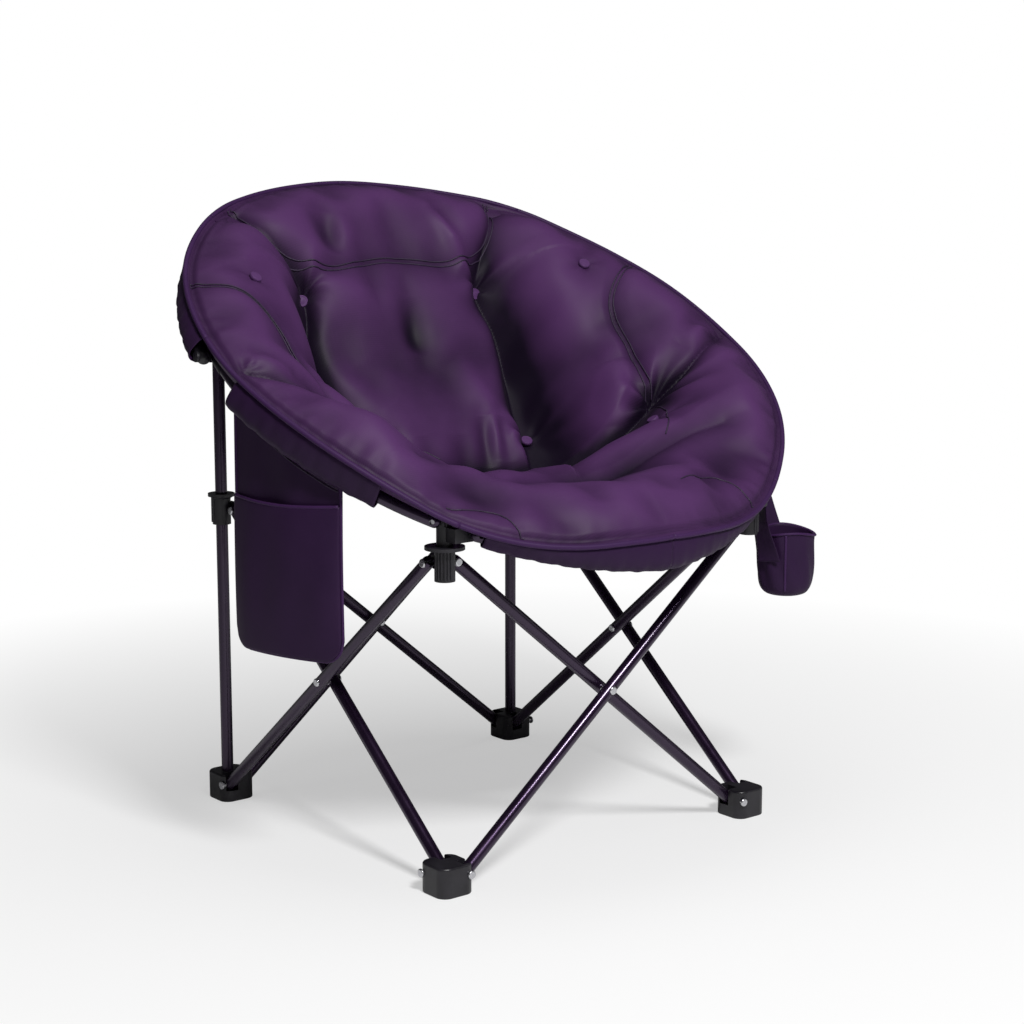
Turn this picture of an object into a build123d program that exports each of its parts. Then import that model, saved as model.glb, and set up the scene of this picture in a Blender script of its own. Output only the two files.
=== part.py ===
from build123d import *
import math
import os

os.makedirs("parts", exist_ok=True)

# Driving dimensions, millimetres. +Z is up and -Y is the front. Shapes are drawn about the
# middle of the four feet; the row's origin is on the floor under the middle of the chair's
# whole depth, which lies further forward.
FRAME_SHIFT_Y = 15.5
HALF_SPACING = 250.0       # corner centre lines, from the middle of the frame
PIN_REACH = 21.0           # pins of the crossing tubes, along a side from its corner
PLANE_OFFSET = 9.0         # a side's two tubes lie this far outside and inside its plane
TUBE_R = 8.0
TUBE_BORE_R = 6.6
FOOT_PIN_Z = 24.0
TOP_PIN_Z = 402.0          # hubs in front, sliding collars at the rear
PIN_R = 3.0
PIN_HOLE_R = 3.1
SPOT_FACE = 7.2            # flats for the rivet heads, from a tube's centre line
SPOT_FACE_R = 7.0
RIVET_HEAD_R = 5.4
RIVET_HEAD_H = 2.4
RUN_GAP = 0.2              # between faces that turn on each other
POST_BOTTOM = 4.0
POST_TOP = 760.0

# Seat rim: eight bent tubes on a tilted circle
RIM_R = 395.0
RIM_CENTRE = (0.0, -10.7, 607.0)
RIM_TILT = 31.5            # degrees, rear side high
CORNER_T = math.degrees(math.asin(HALF_SPACING / RIM_R))
PIVOT_STEP = 3.8           # degrees of rim between a corner and its two rim pivots
SIDE_HINGE_T = 82.98
LAP_SIDE = 9.5             # radial offset of the lapped tube ends at the side hinges
LAP_MIDDLE = 12.5          # and at the front and back hinges
EAR_R = 8.5
EAR_IN = TUBE_R + RUN_GAP
EAR_OUT = 13.2
CAP_R = 9.0
CAP_LENGTH = 26.0

# Padded saucer, drawn in the rim's plane: radius and height over that plane
SEAT_INNER = [
    (1.5, -165), (60, -157), (120, -132), (180, -92), (220, -58), (260, -18),
    (290, 8), (315, 21), (338, 25), (358, 17), (371, 2),
]
SEAT_OUTER = [
    (1.5, -212), (70, -196), (130, -170), (190, -136), (250, -97), (310, -54),
    (345, -30), (371, -12),
]
PANEL_GAP = 0.3            # each seat panel stands this far out from the middle
SLEEVE_BORE_R = 8.3
SLEEVE_R = 11.0
SLEEVE_PIVOT_T = 10.0      # degrees of bare tube next to a pivot
SLEEVE_HINGE_T = 4.6       # degrees of bare tube next to a hinge
SLEEVE_SIDE_T = 13.0       # the front tubes of the side hinges show more bare tube
HEM_INNER = 39.0           # hem strip from the tube's centre line in to the padding

CORNERS = {
    "front_left": (-1, -1, 0),
    "front_right": (1, -1, 90),
    "rear_right": (1, 1, 180),
    "rear_left": (-1, 1, -90),
}

rim_plane = Plane(
    origin=RIM_CENTRE,
    x_dir=(1, 0, 0),
    z_dir=(0, -math.sin(math.radians(RIM_TILT)), math.cos(math.radians(RIM_TILT))),
)


def save(shape, name):
    """One STEP file for each named piece, moved from the feet's middle to the row's origin."""
    placed = Pos(0, FRAME_SHIFT_Y, 0) * shape
    placed.label = name
    export_step(placed, f"parts/{name}.step")


def at_corner(shape, corner):
    """Turn and move a piece drawn about a corner's own axis: +X along the side that leaves
    the corner counterclockwise, +Y along the side that arrives."""
    side_x, side_y, angle = CORNERS[corner]
    return Pos(side_x * HALF_SPACING, side_y * HALF_SPACING, 0) * Rot(0, 0, angle) * shape


def span(low, high, across=(0, 1), z=(0.0, 1.0)):
    """Box between two values of x, with its y range and z range."""
    return Pos((low + high) / 2, sum(across) / 2, sum(z) / 2) * Box(
        high - low, across[1] - across[0], z[1] - z[0]
    )


def rod(start, end, radius):
    """Cylinder between two points."""
    start, end = Vector(*start), Vector(*end)
    along = end - start
    shaft = Cylinder(radius, along.length, align=(Align.CENTER, Align.CENTER, Align.MIN))
    return Plane(origin=start, z_dir=along) * shaft


def dome(at, direction, radius=RIVET_HEAD_R, height=RIVET_HEAD_H):
    """Low rivet head standing on a face."""
    disc = Cylinder(radius, height, align=(Align.CENTER, Align.CENTER, Align.MIN))
    disc = fillet(disc.edges().group_by(Axis.Z)[-1], height * 0.7)
    return Plane(origin=at, z_dir=direction) * disc


# ---------------------------------------------------------------- crossing tubes
def crossing_tube(foot_pin, top_pin, across):
    """Hollow tube from pin to pin: rounded ends, three pin holes with flats for the rivets."""
    start = Vector(*foot_pin)
    along = Vector(*top_pin) - start
    length = along.length
    tube = Cylinder(TUBE_R, length, align=(Align.CENTER, Align.CENTER, Align.MIN))
    tube += Sphere(TUBE_R)
    tube += Pos(0, 0, length) * Sphere(TUBE_R)
    tube -= Cylinder(TUBE_BORE_R, 3 * length)
    for station in (0, length / 2, length):
        tube -= Pos(0, 0, station) * Rot(0, 90, 0) * Cylinder(PIN_HOLE_R, 4 * TUBE_R)
        for side in (-1, 1):
            flat = Rot(0, 90, 0) * Cylinder(SPOT_FACE_R, 2)
            tube -= Pos(side * (SPOT_FACE + 1), 0, station) * flat
    return Plane(origin=start, x_dir=across, z_dir=along) * tube


def crossing_rivet(outward):
    """Rivet through both tubes of one side at their crossing, with the spacer ring
    between them; it is fast in the outer tube."""
    normal = Vector(*outward)
    centre = normal * HALF_SPACING + Vector(0, 0, (FOOT_PIN_Z + TOP_PIN_Z) / 2)
    outer_seat = centre + normal * (PLANE_OFFSET + SPOT_FACE)
    inner_seat = centre - normal * (PLANE_OFFSET + SPOT_FACE + RUN_GAP)
    ring_out = centre + normal * (PLANE_OFFSET - SPOT_FACE)
    ring_in = centre - normal * (PLANE_OFFSET - SPOT_FACE - RUN_GAP)
    rivet = rod(outer_seat, inner_seat, PIN_R) + rod(ring_out, ring_in, RIVET_HEAD_R)
    return rivet + dome(outer_seat, normal) + dome(inner_seat, -normal)


near = HALF_SPACING - PIN_REACH
outer = HALF_SPACING + PLANE_OFFSET
inner = HALF_SPACING - PLANE_OFFSET
TUBES = {
    "leg_tube_left_outer": ((-outer, near, FOOT_PIN_Z), (-outer, -near, TOP_PIN_Z), (1, 0, 0)),
    "leg_tube_left_inner": ((-inner, -near, FOOT_PIN_Z), (-inner, near, TOP_PIN_Z), (1, 0, 0)),
    "leg_tube_rear_inner": ((-near, inner, FOOT_PIN_Z), (near, inner, TOP_PIN_Z), (0, 1, 0)),
    "leg_tube_rear_outer": ((near, outer, FOOT_PIN_Z), (-near, outer, TOP_PIN_Z), (0, 1, 0)),
    "leg_tube_front_outer": ((-near, -outer, FOOT_PIN_Z), (near, -outer, TOP_PIN_Z), (0, 1, 0)),
    "leg_tube_front_inner": ((near, -inner, FOOT_PIN_Z), (-near, -inner, TOP_PIN_Z), (0, 1, 0)),
    "leg_tube_right_inner": ((inner, near, FOOT_PIN_Z), (inner, -near, TOP_PIN_Z), (1, 0, 0)),
    "leg_tube_right_outer": ((outer, -near, FOOT_PIN_Z), (outer, near, TOP_PIN_Z), (1, 0, 0)),
}
for name, (foot_pin, top_pin, across) in TUBES.items():
    save(crossing_tube(foot_pin, top_pin, across), name)

for name, outward in {
    "left": (-1, 0, 0),
    "rear": (0, 1, 0),
    "front": (0, -1, 0),
    "right": (1, 0, 0),
}.items():
    save(crossing_rivet(outward), f"crossing_rivet_{name}")


# ---------------------------------------------------------------- feet
FOOT_LOW, FOOT_HIGH = -22.0, 28.0     # faces of the cup in the corner's own x and y
FOOT_H = 38.0
FOOT_FLOOR = 15.5
CHANNEL = (PLANE_OFFSET - 8.5, PLANE_OFFSET + 8.5)
CHANNEL_START = 12.0


def foot(with_post):
    """Square moulded cup with round corners and a channel for each of its two tubes."""
    middle = (FOOT_LOW + FOOT_HIGH) / 2
    base = Pos(middle, middle) * RectangleRounded(FOOT_HIGH - FOOT_LOW, FOOT_HIGH - FOOT_LOW, 14)
    cup = extrude(base, FOOT_H)
    cup = fillet(cup.edges().group_by(Axis.Z)[-1], 3)
    cup = fillet(cup.edges().group_by(Axis.Z)[0], 1.5)
    far = FOOT_HIGH + 10
    height = (FOOT_FLOOR, FOOT_H + 10)
    cup -= span(CHANNEL_START, far, (-CHANNEL[1], -CHANNEL[0]), z=height)
    cup -= span(CHANNEL[0], CHANNEL[1], (CHANNEL_START, far), z=height)
    cup -= rod((PIN_REACH, FOOT_LOW - 1, FOOT_PIN_Z), (PIN_REACH, 6, FOOT_PIN_Z), PIN_R)
    cup -= rod((FOOT_LOW - 1, PIN_REACH, FOOT_PIN_Z), (24, PIN_REACH, FOOT_PIN_Z), PIN_R)
    if with_post:
        cup -= rod((0, 0, POST_BOTTOM), (0, 0, FOOT_H + 5), TUBE_R)
    return cup


def foot_pins():
    """The foot's two rivets, heads on its outer faces."""
    first = rod((PIN_REACH, FOOT_LOW, FOOT_PIN_Z), (PIN_REACH, 6, FOOT_PIN_Z), PIN_R)
    first += dome((PIN_REACH, FOOT_LOW, FOOT_PIN_Z), (0, -1, 0))
    second = rod((FOOT_LOW, PIN_REACH, FOOT_PIN_Z), (24, PIN_REACH, FOOT_PIN_Z), PIN_R)
    second += dome((FOOT_LOW, PIN_REACH, FOOT_PIN_Z), (-1, 0, 0))
    return [first, second]


for corner in CORNERS:
    save(at_corner(foot(corner.startswith("rear")), corner), f"foot_{corner}")


# ---------------------------------------------------------------- hubs and collars
COLUMN_R = 12.4
COLUMN_LOW = 382.0
COLUMN_HIGH = 420.0
FLANGE_H = 4.0
EAR_FACE = PLANE_OFFSET - TUBE_R - 0.4    # ear plates start just off the tubes
EAR_THICK = 5.2
PIN_SEAT = PLANE_OFFSET - SPOT_FACE - RUN_GAP
EAR_END_R = 8.5


def column(flange_r):
    """Upright barrel with moulded ribs on its outer side, a top flange, and two ear
    plates that carry the tops of the crossing tubes."""
    low, high = COLUMN_LOW, COLUMN_HIGH
    barrel = rod((0, 0, low), (0, 0, high), COLUMN_R)
    barrel += rod((0, 0, high), (0, 0, high + FLANGE_H), flange_r)
    barrel += Pos(0, 0, high - 3) * Cone(COLUMN_R, COLUMN_R + 4, 3, align=(
        Align.CENTER, Align.CENTER, Align.MIN))
    for angle in range(180, 271, 18):
        x = COLUMN_R * math.cos(math.radians(angle))
        y = COLUMN_R * math.sin(math.radians(angle))
        barrel += rod((x, y, low + 3), (x, y, high), 1.6)
    z = (TOP_PIN_Z - EAR_END_R, TOP_PIN_Z + EAR_END_R)
    first_out = -EAR_FACE + EAR_THICK
    barrel += span(-EAR_FACE, first_out, (6, PIN_REACH), z=z)
    barrel += rod((-EAR_FACE, PIN_REACH, TOP_PIN_Z), (first_out, PIN_REACH, TOP_PIN_Z), EAR_END_R)
    barrel += rod((-PIN_SEAT, PIN_REACH, TOP_PIN_Z), (0, PIN_REACH, TOP_PIN_Z), RIVET_HEAD_R)
    face = 2 * PLANE_OFFSET - EAR_FACE
    second_out = face + EAR_THICK
    seat = 2 * PLANE_OFFSET - PIN_SEAT
    barrel += span(first_out - 1, PIN_REACH, (face, second_out), z=z)
    barrel += span(-EAR_FACE, first_out, (PIN_REACH, second_out), z=z)
    barrel += rod((PIN_REACH, face, TOP_PIN_Z), (PIN_REACH, second_out, TOP_PIN_Z), EAR_END_R)
    barrel += rod((PIN_REACH, seat, TOP_PIN_Z), (PIN_REACH, face + 1, TOP_PIN_Z), RIVET_HEAD_R)
    barrel -= rod((-30, PIN_REACH, TOP_PIN_Z), (first_out, PIN_REACH, TOP_PIN_Z), PIN_R)
    barrel -= rod((PIN_REACH, 0, TOP_PIN_Z), (PIN_REACH, second_out, TOP_PIN_Z), PIN_R)
    return barrel


def column_pins():
    """Rivets of a hub's or collar's two ears, heads on the outer faces of the tubes."""
    head = PLANE_OFFSET + SPOT_FACE + RUN_GAP
    first_out = -EAR_FACE + EAR_THICK
    second_out = 2 * PLANE_OFFSET - EAR_FACE + EAR_THICK
    first = rod((-head, PIN_REACH, TOP_PIN_Z), (first_out, PIN_REACH, TOP_PIN_Z), PIN_R)
    first += dome((-head, PIN_REACH, TOP_PIN_Z), (-1, 0, 0))
    second = rod((PIN_REACH, PIN_SEAT, TOP_PIN_Z), (PIN_REACH, second_out, TOP_PIN_Z), PIN_R)
    second += dome((PIN_REACH, PIN_SEAT, TOP_PIN_Z), (0, -1, 0))
    return [first, second]


# ---------------------------------------------------------------- rim pivots
def rim_point(t, radius=RIM_R):
    """Point of the tilted rim circle in the row frame; t is 0 at the rear, 180 in front."""
    turn = math.radians(t)
    local = Vector(radius * math.sin(turn), radius * math.cos(turn), 0)
    return rim_plane.from_local_coords(local)


def mirrored(direction, side):
    """Direction given for the left side, mirrored for the right side."""
    return (-side * direction[0], direction[1], direction[2])


def unit(angle):
    """Level unit vector at an angle from +X."""
    return (math.cos(math.radians(angle)), math.sin(math.radians(angle)), 0.0)


# Each arc: angle of its pivot, angle of its hinge tip, radial offset of the lapped tip, side
# of its pivot that carries the ear, and the corner that holds it.
SIDES = {"left": -1, "right": 1}
ARCS = {}
for side_name, side in SIDES.items():
    ARCS[f"front_{side_name}"] = dict(
        pivot=side * (180 - CORNER_T + PIVOT_STEP), tip=side * 180, lap=side * LAP_MIDDLE,
        ear=mirrored((0, 1, 0), side), corner=f"front_{side_name}")
    ARCS[f"side_front_{side_name}"] = dict(
        pivot=side * (180 - CORNER_T - PIVOT_STEP), tip=side * SIDE_HINGE_T, lap=-LAP_SIDE,
        ear=mirrored(unit(30.36), side), corner=f"front_{side_name}")
    ARCS[f"side_rear_{side_name}"] = dict(
        pivot=side * (CORNER_T + PIVOT_STEP), tip=side * SIDE_HINGE_T, lap=LAP_SIDE,
        ear=mirrored(unit(-40.66), side), corner=f"rear_{side_name}")
    ARCS[f"back_{side_name}"] = dict(
        pivot=side * (CORNER_T - PIVOT_STEP), tip=0, lap=side * LAP_MIDDLE,
        ear=mirrored((0, -1, 0), side), corner=f"rear_{side_name}")


def rim_ear(arc):
    """L-shaped ear from a corner's axis to one side of a rim tube's end, with its pin hole."""
    pivot = rim_point(arc["pivot"])
    side_x, side_y, _ = CORNERS[arc["corner"]]
    normal = Vector(*arc["ear"])
    across = Vector(0, 0, 1).cross(normal)
    to_axis = Vector(side_x * HALF_SPACING - pivot.X, side_y * HALF_SPACING - pivot.Y, 0)
    reach_n, reach_m = to_axis.dot(normal), to_axis.dot(across)
    z = (-EAR_R, EAR_R)
    plate = span(EAR_IN, EAR_OUT, (min(0, reach_m), max(0, reach_m)), z=z)
    plate += span(min(EAR_IN, reach_n), max(EAR_OUT, reach_n), (reach_m - 5, reach_m + 5), z=z)
    plate += rod((EAR_IN, 0, 0), (EAR_OUT, 0, 0), EAR_R)
    return Plane(origin=pivot, x_dir=normal, z_dir=(0, 0, 1)) * plate


def rim_pin(arc):
    """Pin fast in a rim ear; its free end stays inside the rim tube's eye."""
    normal = Vector(*arc["ear"])
    pivot = rim_point(arc["pivot"])
    return rod(pivot - normal * 6, pivot + normal * EAR_OUT, PIN_R)


NECK_R = 10.0
BRACKET_R = 11.6
BRACKET_LOW = 735.0
for side_name, side in SIDES.items():
    corner = f"front_{side_name}"
    arcs = [a for a in ARCS.values() if a["corner"] == corner]
    x, y = side * HALF_SPACING, -HALF_SPACING
    hub = at_corner(column(24.0), corner)
    neck_top = rim_point(arcs[1]["pivot"]).Z + EAR_R
    hub += fillet(rod((x, y, COLUMN_HIGH), (x, y, neck_top), NECK_R).edges().group_by(Axis.Z)[-1], 3)
    for arc in arcs:
        hub += rim_ear(arc)
    for arc in arcs:
        hub -= rim_pin(arc)
    save(hub, f"hub_{corner}")
    pins = [at_corner(pin, corner) for pin in column_pins()] + [rim_pin(arc) for arc in arcs]
    save(Compound(children=pins), f"pins_hub_{corner}")
    foot_set = [at_corner(pin, corner) for pin in foot_pins()]
    save(Compound(children=foot_set), f"pins_foot_{corner}")

    corner = f"rear_{side_name}"
    arcs = [a for a in ARCS.values() if a["corner"] == corner]
    x, y = side * HALF_SPACING, HALF_SPACING
    collar = at_corner(column(18.0), corner)
    collar -= rod((x, y, COLUMN_LOW - 5), (x, y, COLUMN_HIGH + 10), TUBE_R + 0.1)
    save(collar, f"collar_{corner}")
    save(Compound(children=[at_corner(pin, corner) for pin in column_pins()]),
         f"pins_collar_{corner}")
    post = rod((x, y, POST_BOTTOM), (x, y, POST_TOP), TUBE_R)
    post -= rod((x, y, POST_BOTTOM - 1), (x, y, POST_TOP + 1), TUBE_BORE_R)
    save(post, f"post_{corner}")
    bracket_top = rim_point(arcs[1]["pivot"]).Z + EAR_R
    bracket = rod((x, y, BRACKET_LOW), (x, y, bracket_top), BRACKET_R)
    bracket = fillet(bracket.edges().group_by(Axis.Z)[-1], 3)
    for arc in arcs:
        bracket += rim_ear(arc)
    for arc in arcs:
        bracket -= rim_pin(arc)
    bracket -= rod((x, y, BRACKET_LOW - 5), (x, y, POST_TOP), TUBE_R)
    save(bracket, f"rim_bracket_{corner}")
    foot_set = [at_corner(pin, corner) for pin in foot_pins()]
    save(Compound(children=foot_set + [rim_pin(arc) for arc in arcs]), f"pins_{corner}")


# ---------------------------------------------------------------- rim tubes
def local_point(t, radius):
    return Vector(radius * math.sin(math.radians(t)), radius * math.cos(math.radians(t)), 0)


def arc_circle(arc):
    """Circle in the rim's plane through the pivot, half the lap offset and the full offset:
    centre, radius, start angle, and signed sweep in degrees, both about the rim's normal."""
    t0, t1, lap = arc["pivot"], arc["tip"], arc["lap"]
    a = local_point(t0, RIM_R)
    b = local_point((t0 + t1) / 2, RIM_R + lap / 2)
    c = local_point(t1, RIM_R + lap)
    d = 2 * (a.X * (b.Y - c.Y) + b.X * (c.Y - a.Y) + c.X * (a.Y - b.Y))
    aa, bb, cc = a.dot(a), b.dot(b), c.dot(c)
    centre = Vector(
        (aa * (b.Y - c.Y) + bb * (c.Y - a.Y) + cc * (a.Y - b.Y)) / d,
        (aa * (c.X - b.X) + bb * (a.X - c.X) + cc * (b.X - a.X)) / d,
        0,
    )
    start, end = a - centre, c - centre
    first = math.degrees(math.atan2(start.Y, start.X))
    sweep = (math.degrees(math.atan2(end.Y, end.X)) - first + 540) % 360 - 180
    return centre, start.length, first, sweep


def ring_part(arc, section, low, high):
    """Turn a section about an arc's centre. The section is drawn with its x outward from
    the tube's centre line and y along the rim's normal; low and high are degrees along
    the arc, counted from its pivot."""
    centre, radius, first, sweep = arc_circle(arc)
    sign = 1 if sweep > 0 else -1
    low_angle, high_angle = first + sign * low, first + sign * high
    begin, turn = min(low_angle, high_angle), abs(high_angle - low_angle)
    radial = Vector(math.cos(math.radians(begin)), math.sin(math.radians(begin)), 0)
    plane = Plane(origin=centre + radial * radius, x_dir=radial,
                  z_dir=radial.cross(Vector(0, 0, 1)))
    axis = Axis((centre.X, centre.Y, 0), (0, 0, 1))
    return revolve(plane * section, axis, turn)


def arc_frame(arc, degrees):
    """Plane at a place along an arc: origin on the centre line, x outward, z toward the tip."""
    centre, radius, first, sweep = arc_circle(arc)
    sign = 1 if sweep > 0 else -1
    angle = math.radians(first + sign * degrees)
    radial = Vector(math.cos(angle), math.sin(angle), 0)
    tangent = Vector(-math.sin(angle), math.cos(angle), 0) * sign
    return Plane(origin=centre + radial * radius, x_dir=radial, z_dir=tangent)


def rim_tube(arc):
    """Bent hollow tube with a rounded eye on its pivot pin."""
    sweep = abs(arc_circle(arc)[3])
    tube = ring_part(arc, Circle(TUBE_R), 0, sweep - 0.3)
    tube += arc_frame(arc, 0) * Sphere(TUBE_R)
    tube -= ring_part(arc, Circle(TUBE_BORE_R), 1.8, sweep + 1)
    tube = rim_plane * tube
    pivot = rim_point(arc["pivot"])
    hole = Plane(origin=pivot, x_dir=Vector(*arc["ear"]), z_dir=(0, 0, 1)) * rod(
        (-12, 0, 0), (12, 0, 0), PIN_HOLE_R)
    return tube - hole


def rim_cap(arc):
    """Plastic hinge shell over a rim tube's end, with a boss on its free side."""
    sweep = abs(arc_circle(arc)[3])
    radius = arc_circle(arc)[1]
    length = math.degrees(CAP_LENGTH / radius)
    shell = ring_part(arc, Circle(CAP_R), sweep - length, sweep)
    shell += arc_frame(arc, sweep) * Sphere(CAP_R)
    side = 1 if arc["lap"] > 0 else -1
    boss = Plane.YZ * Cylinder(6.5, 3, align=(Align.CENTER, Align.CENTER, Align.MIN))
    if side < 0:
        boss = Rot(0, 0, 180) * boss
    shell += arc_frame(arc, sweep) * Pos(side * (CAP_R - 1.2), 0, 0) * boss
    shell -= ring_part(arc, Circle(TUBE_R), 0, sweep - 0.3)
    return rim_plane * shell


for name, arc in ARCS.items():
    save(rim_tube(arc), f"rim_{name}")
    save(rim_cap(arc), f"cap_{name}")


# ---------------------------------------------------------------- padded saucer
def seat_section():
    """Half section of the padding, drawn on XZ: inner face, outer face, closed edges."""
    inside = [(radius, 0, height) for radius, height in SEAT_INNER]
    outside = [(radius, 0, height) for radius, height in SEAT_OUTER]
    ends = [Line(inside[0], outside[0]), Line(inside[-1], outside[-1])]
    return make_face([Spline(*inside), Spline(*outside)] + ends)


def seat_panel(arc, t0, t1):
    """Wedge of the padding with the sleeve and hem that wrap its rim tube."""
    low, high = min(t0, t1), max(t0, t1)
    begin = 90 - high
    wedge = Rot(0, 0, begin) * revolve(seat_section(), Axis.Z, high - low)
    middle = local_point((low + high) / 2, PANEL_GAP)
    wedge = Pos(middle.X, middle.Y, 0) * wedge
    sweep = abs(arc_circle(arc)[3])
    near_hinge = SLEEVE_SIDE_T if arc["lap"] == -LAP_SIDE else SLEEVE_HINGE_T
    span_low, span_high = SLEEVE_PIVOT_T, sweep - near_hinge
    hem = Pos(-(HEM_INNER + 9) / 2, -4) * Rectangle(HEM_INNER - 9, 4)
    wedge += ring_part(arc, Circle(SLEEVE_R), span_low, span_high)
    wedge += ring_part(arc, hem, span_low, span_high)
    wedge -= ring_part(arc, Circle(SLEEVE_BORE_R), 0, sweep + 2)
    panel = rim_plane * wedge
    side_x, side_y, _ = CORNERS[arc["corner"]]
    x, y = side_x * HALF_SPACING, side_y * HALF_SPACING
    return panel - rod((x, y, 300), (x, y, 900), 14.5)


for name, arc in ARCS.items():
    side = -1 if name.endswith("left") else 1
    if name.startswith("front"):
        limits = (180 - CORNER_T, 180)
    elif name.startswith("side_front"):
        limits = (SIDE_HINGE_T, 180 - CORNER_T)
    elif name.startswith("side_rear"):
        limits = (CORNER_T, SIDE_HINGE_T)
    else:
        limits = (0, CORNER_T)
    save(seat_panel(arc, side * limits[0], side * limits[1]), f"seat_{name}")


# ---------------------------------------------------------------- side pocket
POCKET_T = (91.0, 119.0)
POCKET_BOTTOM = 283.0
POCKET_MOUTH = 470.0
POCKET_DEPTH = 12.0
CLOTH = 2.5
BELOW_SLEEVE = SLEEVE_R + 0.3
below_rim = rim_plane * Pos(0, 0, -500 - BELOW_SLEEVE) * Box(1600, 1600, 1000)


def strip(arc, t_range, low, high, z_range):
    """Upright sheet that follows an arc's plan curve between two offsets from it."""
    sweep = abs(arc_circle(arc)[3])
    pivot, tip = abs(arc["pivot"]), abs(arc["tip"])
    near_side, far_side = [], []
    steps = 6
    for step in range(steps + 1):
        t = t_range[0] + (t_range[1] - t_range[0]) * step / steps
        place = arc_frame(arc, sweep * (t - pivot) / (tip - pivot))
        point = rim_plane.from_local_coords(place.origin)
        ahead = rim_plane.from_local_coords(place.origin + place.z_dir) - point
        out = Vector(ahead.Y, -ahead.X, 0).normalized()
        if out.dot(Vector(point.X, point.Y - RIM_CENTRE[1], 0)) < 0:
            out = out * -1
        near_side.append((point.X + out.X * low, point.Y + out.Y * low))
        far_side.append((point.X + out.X * high, point.Y + out.Y * high))
    corners = near_side + far_side[::-1]
    outline = make_face(Polyline(*corners, close=True))
    return Pos(0, 0, z_range[0]) * extrude(outline, z_range[1] - z_range[0], dir=(0, 0, 1))


def pocket():
    """Flat pocket under the left rim: a back sheet with an open-topped front sheet."""
    arc = ARCS["side_front_left"]
    inset = 0.4
    whole = strip(arc, POCKET_T, -CLOTH, 0, (POCKET_BOTTOM, 700)) & below_rim
    bag = strip(arc, POCKET_T, -CLOTH, POCKET_DEPTH + CLOTH, (POCKET_BOTTOM, POCKET_MOUTH))
    room = (POCKET_T[0] + inset, POCKET_T[1] - inset)
    bag -= strip(arc, room, 0, POCKET_DEPTH, (POCKET_BOTTOM + CLOTH, POCKET_MOUTH + 5))
    whole += bag
    return whole


save(pocket(), "pocket")


# ---------------------------------------------------------------- cup holder
CUP_CENTRE = (332.0, -240.0)
CUP_LOW, CUP_HIGH = 292.0, 376.0
CUP_LOW_R, CUP_HIGH_R = 34.0, 39.0


def cup_holder():
    """Soft round pouch hung from the right rim by two straps."""
    x, y = CUP_CENTRE
    height = CUP_HIGH - CUP_LOW
    base = (Align.CENTER, Align.CENTER, Align.MIN)
    body = Pos(x, y, CUP_LOW) * fillet(
        Cone(CUP_LOW_R, CUP_HIGH_R, height, align=base).edges().group_by(Axis.Z)[0], 6)
    room = Cone(CUP_LOW_R - CLOTH, CUP_HIGH_R - CLOTH, height, align=base)
    body -= Pos(x, y, CUP_LOW + CLOTH) * room
    arc = ARCS["side_front_right"]
    for t, turn in ((121.0, 88.0), (133.5, 186.0)):
        pivot, tip = arc["pivot"], arc["tip"]
        place = arc_frame(arc, abs(arc_circle(arc)[3]) * (t - pivot) / (tip - pivot))
        top = rim_plane.from_local_coords(place.origin)
        ahead = rim_plane.from_local_coords(place.origin + place.z_dir) - top
        out = unit(turn)
        low_at = (x + out[0] * (CUP_HIGH_R - 1.6), y + out[1] * (CUP_HIGH_R - 1.6), CUP_HIGH - 12)
        foot_face = Plane(origin=low_at, x_dir=(-out[1], out[0], 0)) * Rectangle(22, 2.2)
        head_face = Plane(origin=top, x_dir=(ahead.X, ahead.Y, 0)) * Rectangle(26, 2.2)
        body += loft([foot_face, head_face]) & below_rim
    body -= Pos(x, y, CUP_LOW + 20) * Cylinder(CUP_LOW_R - 4, 200, align=base)
    return body


save(cup_holder(), "cup_holder")
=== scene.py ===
# %% [markdown]
# # Folding saucer chair
# A thick quilted saucer of purple satin hangs in a tilted ring of bent tubes, and four pairs of
# crossing tubes carry the ring. The frame comes from CAD with its joints and stays as it is.
# This script dresses it: it gives the rigid parts their finishes and makes the soft parts
# (padded cover, tube sleeves, piping, seams, buttons, side pocket and cup pouch).
# Everything is in metres, +Z up, and the chair faces -Y.

# %% Load the frame
import math

import bpy
import numpy as np
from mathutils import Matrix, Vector


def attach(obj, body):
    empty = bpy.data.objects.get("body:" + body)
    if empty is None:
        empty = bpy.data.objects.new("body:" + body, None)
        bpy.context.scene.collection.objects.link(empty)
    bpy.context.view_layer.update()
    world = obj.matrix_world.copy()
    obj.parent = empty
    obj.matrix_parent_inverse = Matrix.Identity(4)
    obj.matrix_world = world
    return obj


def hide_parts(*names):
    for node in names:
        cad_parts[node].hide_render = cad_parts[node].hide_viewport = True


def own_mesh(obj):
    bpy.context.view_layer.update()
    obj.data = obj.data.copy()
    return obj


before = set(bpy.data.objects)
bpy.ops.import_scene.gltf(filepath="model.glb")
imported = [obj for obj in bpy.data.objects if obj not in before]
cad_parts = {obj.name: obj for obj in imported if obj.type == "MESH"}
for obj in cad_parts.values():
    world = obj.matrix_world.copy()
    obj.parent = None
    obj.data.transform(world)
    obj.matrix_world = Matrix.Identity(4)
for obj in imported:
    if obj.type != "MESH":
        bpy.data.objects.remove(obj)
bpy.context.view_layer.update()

# %% [markdown]
# ## The ring's plane
# The saucer is easiest to describe in the plane of its tilted ring: x to the right, y up the
# slope toward the back, z along the ring's normal. A place round the ring is a turn t in
# degrees: 0 at the back, 90 on the right, 180 in front. The numbers are the CAD model's own,
# so that the cloth lies on the tubes.

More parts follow.
